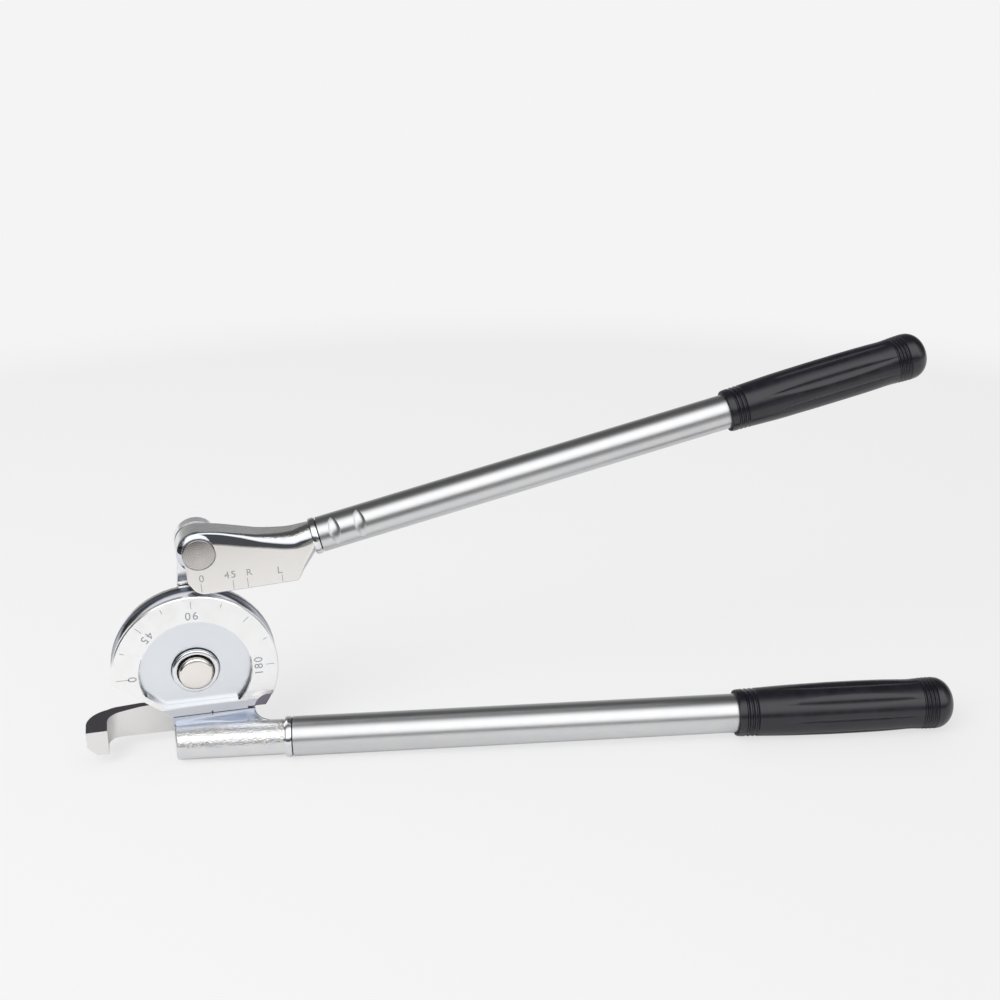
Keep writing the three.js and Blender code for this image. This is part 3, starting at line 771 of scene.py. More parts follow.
@dataclass
class Workshop:
    """What every sub-assembly needs: the frames and the finishes."""

    places: Places
    looks: dict[Look, bpy.types.Material]

    def add(self, piece: Piece, look: Look, body: Body, slot: str, *nodes: str) -> None:
        """Hands a piece over to the tool.

        Args:
            piece: the piece, in place.
            look: the finish that it gets.
            body: the body that it rides on.
            slot: a material slot named in the record; not used.
            nodes: the CAD nodes that it stands for.
        """
        piece.data.materials.clear()
        piece.data.materials.append(self.looks[look])
        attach(piece, body.value)
        if nodes:
            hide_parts(*nodes)
        log.info("%s: %d faces, rides on %s", piece.name, len(piece.data.polygons), body.value)

    def oil(self, piece: Piece, place: Matrix, seat: float) -> None:
        """Paints shade on a turned piece behind its seat, in black, where it sits in its joint.

        Args:
            piece: the piece, with its own finish.
            place: the frame that it was turned in.
            seat: where the painted shade starts, along its axis.
        """
        piece.data.materials.append(self.looks[Look.PAINTED_SHADE])
        back = place.inverted()
        for face in piece.data.polygons:
            face.material_index = int((back @ face.center).x > seat)

    def keep(self, look: Look, edge: float, *nodes: str) -> None:
        """Dresses CAD nodes that are shown as they are.

        Args:
            look: the finish that they get.
            edge: how wide their edges are broken, in millimetres.
            nodes: the nodes' names.
        """
        for node in nodes:
            piece = frame["nodes"][node]
            for slot in piece.material_slots:
                slot.material = self.looks[look]
            piece.data.shade_smooth()
            if "custom_normal" in piece.data.attributes:
                piece.data.attributes.remove(piece.data.attributes["custom_normal"])
            weld = piece.modifiers.new("weld", "WELD")
            weld.merge_threshold = 1e-6
            bevel = piece.modifiers.new("edges", "BEVEL")
            bevel.width = edge * MM
            bevel.segments = 2
            bevel.limit_method = "ANGLE"
            bevel.angle_limit = math.radians(40)
            normals = piece.modifiers.new("normals", "WEIGHTED_NORMAL")
            normals.keep_sharp = False
            log.info("%s: kept as packed", node)


# Sub-assemblies


@dataclass
class Tube:
    """A handle's tube, in its handle's frame. Angles are in degrees."""

    name: str
    body: Body
    radius: float
    start: float
    end: float
    crimps: tuple[float, ...] = ()
    wall: float = 1.6
    crimp_depth: float = 1.25
    crimp_half_width: float = 3.6
    crimp_middle: float = 69.0
    crimp_half_arc: float = 55.0
    crimp_step: float = 0.2
    # The power that shapes a crimp's section: higher is flatter.
    crimp_power: float = 2.4
    sides: int = 192

    def radius_at(self, along: float, angle: float, radius: float) -> float:
        """The tube's radius with its crimps, each a pointed lens pressed in from the front.

        Args:
            along: the place along the tube.
            angle: the angle from the top towards the front, in radians.
            radius: the radius without crimps.

        Returns:
            The radius.
        """
        off_middle = abs(math.degrees(angle) - self.crimp_middle) / self.crimp_half_arc
        if radius < self.radius or off_middle >= 1:
            return radius
        lens = 1 - off_middle**2
        depth = 0.0
        for crimp in self.crimps:
            share = abs(along - crimp) / (self.crimp_half_width * lens)
            if share < 1:
                depth = self.crimp_depth * lens * (1 - share**self.crimp_power)
        return radius - depth

    def build(self, shop: Workshop, place: Matrix) -> None:
        """Makes the tube.

        Args:
            shop: the frames and finishes.
            place: the handle's frame.
        """
        stations = {self.start, self.end}
        steps = math.ceil(self.crimp_half_width / self.crimp_step) + 1
        for crimp in self.crimps:
            stations.update(crimp + self.crimp_step * i for i in range(-steps, steps + 1))
        bore = self.radius - self.wall
        outside = [(along, self.radius) for along in sorted(stations)]
        profile = [(self.start, bore), *outside, (self.end, bore)]
        piece = smooth_shaded(turned(self.name, profile, place, self.sides, self.radius_at), sharp=50)
        shop.add(piece, Look.SATIN, self.body, "satin_steel", self.name.removesuffix("_skin"))


@dataclass
class Grip:
    """A moulded grip, in its handle's frame. Shares are of its length or radius."""

    name: str
    body: Body
    start: float
    length: float
    radius: float
    tube_radius: float
    first_flute: float
    gap: float = 0.3
    cap: float = 4.5
    tube_clearance: float = 5.5
    mouth_depth: float = 2.4
    end_ring_start: float = 23.0
    flutes: int = 8
    flute_depth: float = 1.15
    flute_width_share: float = 0.7
    # Powers that shape the flutes' outline and their section.
    flute_lens: float = 2.2
    flute_round: float = 1.7
    sides_per_flute: int = 24
    flute_start_share: float = 0.18
    flute_end_share: float = 0.86
    mouth_rings: tuple[float, ...] = (0.34, 0.518, 0.696)
    end_rings: tuple[float, ...] = (0.0, 0.15, 0.3, 0.45)
    ring_width_share: float = 0.13
    ring_depth_share: float = 0.065
    ring_steps: int = 10
    lip_steps: int = 10
    lip_curve: Pair = (1.2, 0.8)
    barrel_shares: tuple[Pair, ...] = (
        (0.0, 0.868), (0.008, 0.89), (0.026, 0.9), (0.1, 0.92), (0.17, 0.945), (0.245, 0.968), (0.34, 0.985),
        (0.45, 1.0), (0.55, 1.0), (0.66, 0.99), (0.73, 0.972), (0.795, 0.952), (0.865, 0.985), (0.9, 0.99),
        (0.925, 0.972), (0.945, 0.91), (0.962, 0.81), (0.977, 0.66), (0.99, 0.42), (1.0, 0.0),
    )

    def tube_end(self) -> float:
        """Where the tube ends inside the grip."""
        return self.start + self.length - self.cap - self.tube_clearance - self.tube_radius / 2

    def radius_at(self, along: float, angle: float, radius: float) -> float:
        """The grip's radius with its long flutes, which are widest halfway and pointed at both ends.

        Args:
            along: the place along the handle.
            angle: the angle from the top towards the front, in radians.
            radius: the radius without flutes.

        Returns:
            The radius.
        """
        middle = (self.flute_start_share + self.flute_end_share) / 2
        reach = (self.flute_end_share - self.flute_start_share) / 2
        off_middle = abs((along - self.start) / self.length - middle) / reach
        if radius <= self.tube_radius + self.gap + TOLERANCE or off_middle >= 1:
            return radius
        lens = 1 - off_middle**self.flute_lens
        pitch = 360 / self.flutes
        from_flute = (math.degrees(angle) - self.first_flute) % pitch / pitch
        off_flute = (1 - abs(from_flute - 0.5) * 2) / (self.flute_width_share * lens)
        return radius - self.flute_depth * lens * max(1 - off_flute, 0) ** self.flute_round

    def outside(self) -> list[Pair]:
        """The grip's outside from its mouth to its tip, with its ring grooves.

        Returns:
            Its corners, as (along, radius).
        """
        knots = [[share * self.length, size * self.radius] for share, size in self.barrel_shares]
        barrel = eased_curve(knots)
        width, depth = self.ring_width_share * self.radius, self.ring_depth_share * self.radius
        rings = [share * self.radius for share in self.mouth_rings]
        rings += [self.length - self.end_ring_start + share * self.radius for share in self.end_rings]
        sizes = {round(along, 3): size for along, size in barrel}
        reach = self.ring_steps // 2 + 1
        for ring in rings:
            for i in range(-reach, reach + 1):
                along = ring + width * i / self.ring_steps
                low, high = next((p, q) for p, q in zip(barrel, barrel[1:]) if p[0] <= along <= q[0])
                size = low[1] + (high[1] - low[1]) * (along - low[0]) / (high[0] - low[0])
                sizes.setdefault(round(along, 3), size)
        for along in sizes:
            for ring in rings:
                off = abs(along - ring) / (width / 2)
                if off < 1:
                    sizes[along] -= depth * math.cos(off * math.pi / 2)
        return sorted(sizes.items())

    def build(self, shop: Workshop, place: Matrix) -> None:
        """Makes the grip.

        Args:
            shop: the frames and finishes.
            place: the handle's frame.
        """
        outside = self.outside()
        bore = self.tube_radius + self.gap
        rise = outside[0][1] - bore
        inward, outward = self.lip_curve
        lip = [(self.mouth_depth, bore)]
        for i in range(1, self.lip_steps):
            turn = math.cos(math.pi * i / self.lip_steps) / 2
            lip.append((self.mouth_depth * (0.5 + turn) ** inward, bore + rise * (0.5 - turn) ** outward))
        bottom = self.length - self.cap
        profile = [(bottom, 0), (bottom - bore * 0.5, bore), *lip, *outside]
        shifted = [(self.start + along, size) for along, size in profile]
        sides = self.flutes * self.sides_per_flute
        piece = smooth_shaded(turned(self.name, shifted, place, sides, self.radius_at), sharp=38)
        shop.add(piece, Look.RUBBER, self.body, "grip_rubber", self.name.removesuffix("_skin"))


@dataclass
class Bead:
    """The turned bead where a handle's forging meets its tube, with the spigot inside the tube.

    The drops of its foot and root, inside the forging, are counted in shoulders.
    """

    name: str
    body: Body
    start: float
    radius: float
    tube_radius: float
    shoulder: float = 1.1
    spigot: float = 46.0
    wall: float = 1.6
    gap: float = 0.3
    round_steps: int = 8
    crown_power: float = 0.45
    foot_drop: float = 2.0
    root_drop: float = 1.6
    chamfer: float = 1.0
    shade_overlap: float = 0.05

    def build(self, shop: Workshop, place: Matrix) -> None:
        """Makes the bead.

        Args:
            shop: the frames and finishes.
            place: the handle's frame.
        """
        end = self.start + BEAD_LENGTH
        spigot_radius = self.tube_radius - self.wall - self.gap
        crown = []
        for i in range(self.round_steps + 1):
            turn = math.pi * i / self.round_steps
            along = (self.start + end) / 2 - math.cos(turn) * BEAD_LENGTH / 2
            crown.append((along, self.radius - self.shoulder * (1 - math.sin(turn) ** self.crown_power)))
        tip = end + self.spigot
        profile = [
            (self.start - BEAD_LENGTH, 0),
            (self.start - BEAD_LENGTH, self.radius - self.shoulder * self.foot_drop),
            (self.start, self.radius - self.shoulder * self.root_drop), *crown, (end, spigot_radius),
            (tip - self.chamfer, spigot_radius), (tip, spigot_radius - self.chamfer), (tip, 0),
        ]
        piece = smooth_shaded(turned(self.name, profile, place, ROUND_SIDES), sharp=40)
        shop.add(piece, Look.BRIGHT, self.body, "bright_steel")
        # The spigot behind the bead, seen only in the gap before the tube, is painted black as shade.
        shop.oil(piece, place, end - self.shade_overlap)


@dataclass
class HeadForging:
    """The forged head: its cheeks, boss, bending channel and neck, in the head's frame."""

    boss_radius: float = 13.5
    shoe_drop: float = 27.5
    neck_radius: float = 10.4
    toe: float = 57.4
    toe_high_share: float = 0.24
    toe_crest: float = 8.7
    toe_shoulder: float = 24.0
    crest_turn: float = 73.0
    shoulder_turn: float = 79.5
    rear_round: float = 2.5
    shoe_round: float = 0.8
    # From heel to toe: place and high edge as shares of the boss's radius, low edge as a share of the
    # shoe's drop, and the front corner's tight and wide radius. Towards the neck the crest grows round.
    spine: tuple[tuple[float, float, float, float, float], ...] = (
        (-0.66, 0.7, -0.67, 1.2, 54), (-0.29, 0.92, -0.93, 1.2, 54), (0.1, 0.985, -1.0, 1.2, 54),
        (0.8, 0.9, -1.0, 1.4, 58), (1.9, 0.63, -1.0, 2.7, 50), (3.0, 0.36, -1.0, 5.4, 30))
    # How far the toe has turned into the neck, from section to section.
    neck_shares: tuple[float, ...] = (0, 0.45, 0.8, 1)
    # The boss's front edge slopes back from the pin, as (depth, radius).
    boss_edge: tuple[Pair, ...] = (
        (0.0, 9.9), (0.15, 10.3), (0.9, 11.5), (1.75, 12.6), (2.3, 13.1), (3.2, 13.45), (4.0, 13.5))
    pin_bore: float = 9.8
    rear_chamfer: float = 1.0
    bore_past: float = 5.0
    corner_steps: int = 10
    voxel: float = 0.4
    smooth_passes: int = 2

    def section(self, row: Sequence[float]) -> list[Vector]:
        """A rounded section of the head.

        Args:
            row: along, near, far, low and high, the front corner's tight and wide radius and the angle
                where it meets the cheek, then the radii of the rear and the low corners.

        Returns:
            The section's points.
        """
        along, near, far, low, high, crest, shoulder, meet, rear, under = row
        return [
            *self.corner(along, far - rear, high - rear, rear, 0),
            *self.front_corner(along, near, high, crest, shoulder, meet),
            *self.corner(along, near + under, low + under, under, 2),
            *self.corner(along, far - under, low + under, under, 3)]

    def corner(self, along: float, y: float, z: float, radius: float, quarter: int) -> list[Vector]:
        """A quarter round about a point."""
        turns = [math.pi / 2 * (quarter + i / self.corner_steps) for i in range(self.corner_steps + 1)]
        return [Vector((along, y + radius * math.cos(t), z + radius * math.sin(t))) for t in turns]

    def front_corner(
        self, along: float, near: float, high: float, crest: float, shoulder: float, meet: float,
    ) -> list[Vector]:
        """The front corner: tight at the top, then wide, and cut off where the cheek is milled.

        Args:
            along: the section's place.
            near: the cheek.
            high: the top.
            crest: the tight radius.
            shoulder: the wide radius.
            meet: the angle from the top at which it meets the cheek.

        Returns:
            Its points, from the top down.
        """
        bend, end = math.radians(self.crest_turn), math.radians(meet)
        width = crest * math.sin(bend) + shoulder * (math.sin(end) - math.sin(bend))
        points = []
        for i in range(self.corner_steps * 2 + 1):
            turn = end * i / (self.corner_steps * 2)
            tight, wide = min(turn, bend), max(turn, bend)
            back = crest * math.sin(tight) + shoulder * (math.sin(wide) - math.sin(bend))
            down = crest * (1 - math.cos(tight)) + shoulder * (math.cos(bend) - math.cos(wide))
            points.append(Vector((along, near + width - back, high - down)))
        return points

    def rows(self, places: Places) -> list[list[float]]:
        """The sections' sizes from the heel to the neck.

        Args:
            places: the frames, which say where the neck ends.

        Returns:
            A row for each section.
        """
        corners = [self.shoulder_turn, self.rear_round, self.shoe_round]
        rows = [[along * self.boss_radius, 0.0, DIE_THICKNESS, low * self.shoe_drop, high * self.boss_radius,
                 crest, shoulder, *corners] for along, high, low, crest, shoulder in self.spine]
        toe = [self.toe, 0.0, DIE_THICKNESS, -self.shoe_drop, self.boss_radius * self.toe_high_share,
               self.toe_crest, self.toe_shoulder, *corners]
        pitch = math.radians(places.upper_pitch)
        end = places.upper_forward - BEAD_LENGTH * math.cos(pitch)
        height = -places.upper_drop - BEAD_LENGTH * math.sin(pitch)
        middle, radius = DIE_THICKNESS / 2, self.neck_radius
        # The neck is round, so all its corners are quarter rounds.
        neck = [end, middle - radius, middle + radius, height - radius, height + radius,
                radius, radius, 90.0, radius, radius]
        for share in self.neck_shares:
            rows.append([a + (b - a) * share for a, b in zip(toe, neck, strict=True)])
        return rows

    def build(self, shop: Workshop) -> None:
        """Makes the head.

        Args:
            shop: the frames and finishes.
        """
        place = shop.places.head()
        rows = eased_curve(self.rows(shop.places))
        body = add_piece("shoe_head_forging", *skin([self.section(row) for row in rows]), place)
        rear = [(DIE_THICKNESS - self.rear_chamfer, self.boss_radius),
                (DIE_THICKNESS, self.boss_radius - self.rear_chamfer), (DIE_THICKNESS, 0)]
        to_back = place @ Matrix.Rotation(math.pi / 2, 4, "Z")
        boss = turned("boss", [(0, 0), *self.boss_edge, *rear], to_back, ROUND_SIDES)
        combine(body, [boss], Way.JOIN)
        drop, reach, middle = BEND_RADIUS - LINK_LENGTH, self.toe * 2, DIE_THICKNESS / 2
        channel = rod("channel", CHANNEL_RADIUS, (-reach, middle, drop), (reach, middle, drop), place)
        past = self.bore_past
        bore = rod("bore", self.pin_bore, (0, -past, 0), (0, DIE_THICKNESS + past, 0), place)
        combine(body, [channel, bore], Way.CUT)
        forge(body, self.voxel, self.smooth_passes)
        shop.add(body, Look.FORGED, Body.UPPER, "forged_steel", "shoe_head")


@dataclass
class SocketForging:
    """The forging under the die with its neck for the lower handle, in the die's frame."""

    left: float = 16.2
    right: float = 35.2
    top: float = 30.1
    hollow: float = 1.2
    hollow_start: float = 2.5
    hollow_end: float = 8.5
    floor: float = 56.0
    rear_round: float = 6.0
    front_round: float = 3.0
    heel_round: float = 4.0
    neck_radius: float = 11.25
    neck_end: float = 53.2
    fillet_radius: float = 10.5
    fillet_arc: float = 68.0
    fillet_thickness: float = 2.2
    fillet_root: float = 5.0
    fillet_tail: float = 9.0
    fillet_foot: float = 42.5
    screw_places: tuple[float, ...] = (7.0, 26.0)
    screw_setback: float = 12.5
    # Each screw hole's steps, as (radius, height of its upper end).
    screw_steps: tuple[Pair, ...] = ((3.3, -20.0), (5.3, -49.7))
    screw_cut_start: float = -60.0
    crisp_depth: float = 1.5
    voxel: float = 0.5
    smooth_passes: int = 16

    def block(self, place: Matrix) -> Piece:
        """The block under the die's straight seat.

        Args:
            place: the die's frame.

        Returns:
            The block.
        """
        outline = [(0.0, -self.top), (0.0, -self.top - self.hollow_start),
                   (self.hollow, -self.top - self.hollow_end)]
        front, rear = self.front_round, self.rear_round
        outline += arc(front + self.hollow, front - self.floor, front, 180, 270, steps=8)
        outline += arc(DIE_THICKNESS - rear, rear - self.floor, rear, 270, 360, steps=8)
        outline.append((DIE_THICKNESS, -self.top))
        return bar("handle_socket_forging", outline, -self.left, self.right, place)

    def side(self, place: Matrix, axis_drop: float) -> Piece:
        """What the block and neck are trimmed to, with the rounded heel.

        Args:
            place: the die's frame.
            axis_drop: how far the handle's axis lies below the die's.

        Returns:
            The shape.
        """
        far = self.neck_end * 2
        low = -axis_drop - self.neck_radius
        heel = arc(self.heel_round - self.left, low + self.heel_round, self.heel_round, 180, 270, steps=12)
        return slab("side", [(-self.left, far), *heel, (far, low), (far, far)], -far, far, place)

    def fillet(self, place: Matrix, axis_drop: float) -> list[Piece]:
        """The web between the block and the neck, and its foot.

        Args:
            place: the die's frame.
            axis_drop: how far the handle's axis lies below the die's.

        Returns:
            Both shapes.
        """
        centre = self.right + self.fillet_radius
        inner, outer = self.right - self.fillet_root, centre + self.fillet_root
        turn = math.radians(self.fillet_arc)
        tail = (centre - self.fillet_radius * math.cos(turn) + self.fillet_tail * math.sin(turn),
                -self.top - self.fillet_radius * math.sin(turn) - self.fillet_tail * math.cos(turn))
        curve = arc(centre, -self.top, self.fillet_radius, 180, 180 + self.fillet_arc, steps=16)
        outline = [(inner, -self.top), *curve, tail, (outer, -axis_drop), (inner, -axis_drop)]
        web = slab("web", outline, 0, self.fillet_thickness, place)
        sole = [(inner, -axis_drop), (outer, -axis_drop),
                (outer, -self.fillet_foot), (inner, -self.fillet_foot)]
        return [web, slab("foot", sole, -self.neck_radius, self.fillet_thickness, place)]

    def build(self, shop: Workshop) -> None:
        """Makes the forging.

        Args:
            shop: the frames and finishes.
        """
        place, along = shop.places.die(), shop.places.lower_handle()
        drop = shop.places.lower_drop
        body = self.block(place)
        neck = rod("neck", self.neck_radius, (-self.neck_end, 0, 0), (self.neck_end, 0, 0), along)
        combine(body, [neck], Way.JOIN)
        combine(body, [self.side(place, drop)], Way.COMMON)
        combine(body, self.fillet(place, drop), Way.JOIN)
        back, low = self.screw_setback, self.screw_cut_start
        holes = [rod("hole", radius, (x, back, low), (x, back, high), place, sides=48)
                 for x in self.screw_places for radius, high in self.screw_steps]
        combine(body, holes, Way.CUT)
        crisp_above = (place @ Vector((0, 0, -self.top - self.crisp_depth))).z
        forge(body, self.voxel, self.smooth_passes, crisp_above)
        shop.add(body, Look.SOCKET, Body.LOWER, "forged_steel", "handle_socket")


@dataclass
class Pin:
    """A pivot pin with its head in front, from (radius, depth) corners of its head.

    Behind its seat it is painted black, as shade in its joint.
    """

    node: str
    joint: str
    head: Sequence[Pair]
    shank: float
    seat: float
    end: float = 32.9
    tip: float = 0.5

    def build(self, shop: Workshop) -> None:
        """Makes the pin.

        Args:
            shop: the frames and finishes.
        """
        place = shop.places.on_axis(self.joint) @ Matrix.Rotation(math.pi / 2, 4, "Z")
        *front, (radius, depth) = self.head
        profile = [(d, r) for r, d in front]
        profile += [
            (self.seat, radius), (depth, radius), (depth, self.shank), (self.end - self.tip, self.shank),
            (self.end, self.shank - self.tip), (self.end, 0.0)]
        piece = smooth_shaded(turned(f"{self.node}_turned", profile, place, ROUND_SIDES), sharp=40)
        shop.add(piece, Look(self.node), Body.LINK, "bright_steel", self.node)
        # Behind its seat the pin is painted black as shade in its joint.
        shop.oil(piece, place, self.seat)


def domed_head(
    radius: float, rise: float, crown: float, edge: float, far: float, steps: int = 12,
) -> list[Pair]:
    """A pin's head with a low crown and a rounded edge.

    Args:
        radius: its radius.
        rise: how far it stands in front of the die's face.
        crown: how far the crown stands over the edge.
        edge: the edge's width.
        far: how deep the head reaches.
        steps: how many steps the crown and the edge have.

    Returns:
        Its corners, as (radius, depth).
    """
    flat = radius - edge
    corners = [(flat * i / steps, -rise + crown * (i / steps) ** 2) for i in range(steps)]
    lean = math.atan(2 * crown / flat)
    for i in range(steps + 1):
        turn = lean + (math.pi / 2 - lean) * i / steps
        corners.append((flat + edge * (math.sin(turn) - math.sin(lean)) / (1 - math.sin(lean)),
                        -rise + crown + edge * (math.cos(lean) - math.cos(turn))))
    return [*corners, (radius, far)]


def flat_head(
    radius: float, rise: float, edge: float, dimple: float, far: float, steps: int = 6,
) -> list[Pair]:
    """A flat pin head with a rounded edge and a centre dimple.

    Args:
        radius: its radius.
        rise: how far it stands in front of the die's face.
        edge: the edge's radius.
        dimple: the dimple's depth and radius.
        far: how deep the head reaches.
        steps: how many steps the edge has.

    Returns:
        Its corners, as (radius, depth).
    """
    corners = [(0.0, -rise + dimple), (dimple, -rise)]
    for i in range(steps + 1):
        turn = math.pi / 2 * i / steps
        corners.append((radius - edge + edge * math.sin(turn), -rise + edge * (1 - math.cos(turn))))
    return [*corners, (radius, far)]


# Stamped marks


@dataclass(frozen=True)
class Stamp:
    """Stamped letters: where their middle lies, how tall they are, and how far their top is turned.

    The turn is in degrees from upright, clockwise as seen from the front.
    """

    text: str
    x: float
    z: float
    height: float
    turn: float = 0.0


@dataclass(frozen=True)
class Tick:
    """A stamped line between two points."""

    start: Pair
    end: Pair
    width: float = 0.4


@dataclass
class Marks:
    """The stamped marks of one face."""

    name: str
    body: Body
    stamps: Sequence[Stamp]
    ticks: Sequence[Tick]
    look: Look = Look.MARK
    proud: float = 0.04
    sunk: float = 0.15
    spacing: float = 1.2

    def letters(self, stamp: Stamp, place: Matrix) -> Piece:
        """Makes one stamp's letters as a thin mesh.

        Args:
            stamp: the stamp.
            place: the frame of the face.

        Returns:
            The letters.
        """
        curve = bpy.data.curves.new("letters", "FONT")
        curve.body = stamp.text
        curve.space_character = self.spacing
        # The letters are one unit thick until they are scaled.
        curve.extrude = 0.5
        writing = in_scene("letters", curve)
        mesh = evaluated_mesh(writing)
        bpy.data.objects.remove(writing)
        corners = [v.co.copy() for v in mesh.vertices]
        low, high = (Vector(pick(c[k] for c in corners) for k in range(3)) for pick in (min, max))
        size = stamp.height / (high.y - low.y)
        depth = self.proud + self.sunk
        upright = Matrix(((size, 0, 0, 0), (0, 0, -depth, 0), (0, size, 0, 0), (0, 0, 0, 1)))
        turn = Matrix.Rotation(math.radians(stamp.turn), 4, "Y")
        spot = Matrix.Translation((stamp.x, depth / 2 - self.proud, stamp.z))
        mesh.transform(place @ spot @ turn @ upright @ Matrix.Translation(-(low + high) / 2))
        return in_scene("letters", mesh)

    def line(self, tick: Tick, place: Matrix) -> Piece:
        """Makes one tick as a thin bar.

        Args:
            tick: the tick.
            place: the frame of the face.

        Returns:
            The bar.
        """
        start, end = Vector(tick.start), Vector(tick.end)
        side = (end - start).normalized().orthogonal() * tick.width / 2
        outline = [tuple(p) for p in (start + side, end + side, end - side, start - side)]
        return slab("tick", outline, -self.proud, self.sunk, place)

    def build(self, shop: Workshop, place: Matrix) -> None:
        """Makes the marks as one piece.

        Args:
            shop: the frames and finishes.
            place: the frame of the face.
        """
        parts = [self.letters(stamp, place) for stamp in self.stamps]
        parts += [self.line(tick, place) for tick in self.ticks]
        shape = bmesh.new()
        for part in parts:
            shape.from_mesh(part.data)
            bpy.data.objects.remove(part)
        mesh = bpy.data.meshes.new(self.name)
        shape.to_mesh(mesh)
        shape.free()
        shop.add(in_scene(self.name, mesh), self.look, self.body, "machined_steel")


@dataclass(frozen=True)
class Dial:
    """The degree scale of the die's face. Its numbers stand with their tops to the middle."""

    tick_radius: float = 48.9
    number_radius: float = 39.0
    number_height: float = 5.3
    first_length: float = 8.5
    main_length: float = 5.0
    minor_length: float = 2.8
    step: float = 22.5
    numbers: tuple[int, ...] = (0, 45, 90, 180)

    def spot(self, degrees: float, radius: float) -> Pair:
        """A point of the scale, which counts clockwise from the left."""
        turn = math.radians(180 - degrees)
        return radius * math.cos(turn), radius * math.sin(turn)

    def marks(self) -> Marks:
        """The scale's marks, with the long mark at nought.

        Returns:
            The marks.
        """
        lengths = [self.first_length, *[self.minor_length, self.main_length] * 4]
        ticks = []
        for i, length in enumerate(lengths):
            rim, foot = (self.spot(i * self.step, self.tick_radius - inward) for inward in (0, length))
            ticks.append(Tick(rim, foot))
        stamps = [Stamp(str(number), *self.spot(number, self.number_radius), self.number_height, number + 90)
                  for number in self.numbers]
        return Marks("die_marks", Body.LOWER, stamps, ticks)


@dataclass(frozen=True)
class ShadeLines:
    """Thin dark lines in the die's frame, all painted shade: in the seam, in its witness mark and along the
    pocket's rim.
    """

    seam: Tick = Tick((-16.2, -29.95), (35.2, -29.95), 0.5)
    witness: tuple[Tick, Tick] = (
        Tick((8.2, -28.4), (8.2, -31.5), 0.5), Tick((7.2, -29.0), (9.2, -29.0), 0.3))
    rim_radius: float = 35.0
    rim_width: float = 0.22
    rim_arcs: tuple[Pair, ...] = ((158.0, 200.0), (-39.0, 12.0))

    def marks(self) -> Marks:
        """The lines as marks.

        Returns:
            The marks.
        """
        rim = []
        for start, end in self.rim_arcs:
            points = arc(0, 0, self.rim_radius, start, end, steps=12)
            rim += [Tick(a, b, self.rim_width) for a, b in zip(points, points[1:])]
        # The lines are drawn in black as painted shade.
        return Marks("painted_shade_lines", Body.LOWER, (), (self.seam, *self.witness, *rim), Look.PAINTED_SHADE, 0.02)


@dataclass(frozen=True)
class Pointers:
    """The pointer marks of the head's cheek, in the head's frame."""

    stamps: tuple[Stamp, ...] = (
        Stamp("0", -0.4, -16.2, 4.6), Stamp("45", 16.9, -16.4, 4.6), Stamp("R", 28.9, -16.6, 4.2),
        Stamp("L", 47.7, -18.2, 4.6))
    # Each line's place along the cheek and its two ends.
    lines: tuple[tuple[float, float, float], ...] = (
        (-1.1, -19.6, -25.4), (18.4, -20.4, -26.2), (27.2, -20.4, -26.4), (48.6, -21.6, -26.4))

    def marks(self) -> Marks:
        """The pointers as marks."""
        ticks = [Tick((x, high), (x, low)) for x, high, low in self.lines]
        return Marks("head_marks", Body.UPPER, self.stamps, ticks)


# Handles, link and latch


@dataclass(frozen=True)
class Handle:
    """A handle's bead, tube and grip, one after the other in its frame."""

    side: str
    forging: str
    body: Body
    tube_radius: float
    bead_start: float
    bead_radius: float
    grip_start: float
    grip_length: float
    grip_radius: float
    first_flute: float
    crimps: tuple[float, ...] = ()

    def build(self, shop: Workshop, place: Matrix) -> None:
        """Makes the three pieces.

        Args:
            shop: the frames and finishes.
            place: the handle's frame.
        """
        grip = Grip(f"{self.side}_grip_skin", self.body, self.grip_start, self.grip_length, self.grip_radius,
                    self.tube_radius, self.first_flute)
        start = self.bead_start + BEAD_LENGTH + TUBE_GAP
        for part in (
            Bead(f"{self.forging}_bead", self.body, self.bead_start, self.bead_radius, self.tube_radius),
            Tube(f"{self.side}_tube_skin", self.body, self.tube_radius, start, grip.tube_end(), self.crimps),
            grip,
        ):
            part.build(shop, place)


@dataclass
class LowerHandle:
    """The die with its socket, handle and grip."""

    handle: Handle = Handle(
        "lower", "handle_socket", Body.LOWER, tube_radius=12.7, bead_start=53.2, bead_radius=12.95,
        grip_start=346.3, grip_length=146.9, grip_radius=17.15, first_flute=47.0)

    def build(self, shop: Workshop) -> None:
        """Makes the lower handle's pieces.

        Args:
            shop: the frames and finishes.
        """
        shop.keep(Look.MACHINED, 0.25, "bend_die")
        shop.keep(Look.BRIGHT, 1.3, "die_collar")
        shop.keep(Look.BRONZE, 0.15, "die_bushing")
        shop.keep(Look.BLACK, 0.15, "die_screw_1", "die_screw_2")
        SocketForging().build(shop)
        self.handle.build(shop, shop.places.lower_handle())
        for lines in (Dial(), ShadeLines()):
            lines.marks().build(shop, shop.places.die())


@dataclass
class UpperHandle:
    """The head with its handle and grip."""

    handle: Handle = Handle(
        "upper", "shoe_head", Body.UPPER, tube_radius=11.3, bead_start=-BEAD_LENGTH, bead_radius=11.8,
        grip_start=273.5, grip_length=139.2, grip_radius=15.41, first_flute=19.0, crimps=(10.5, 26.9))

    def build(self, shop: Workshop) -> None:
        """Makes the upper handle's pieces.

        Args:
            shop: the frames and finishes.
        """
        HeadForging().build(shop)
        self.handle.build(shop, shop.places.upper_handle())
        shop.keep(Look.BRONZE, 0.15, "head_bushing")
        Pointers().marks().build(shop, shop.places.head())


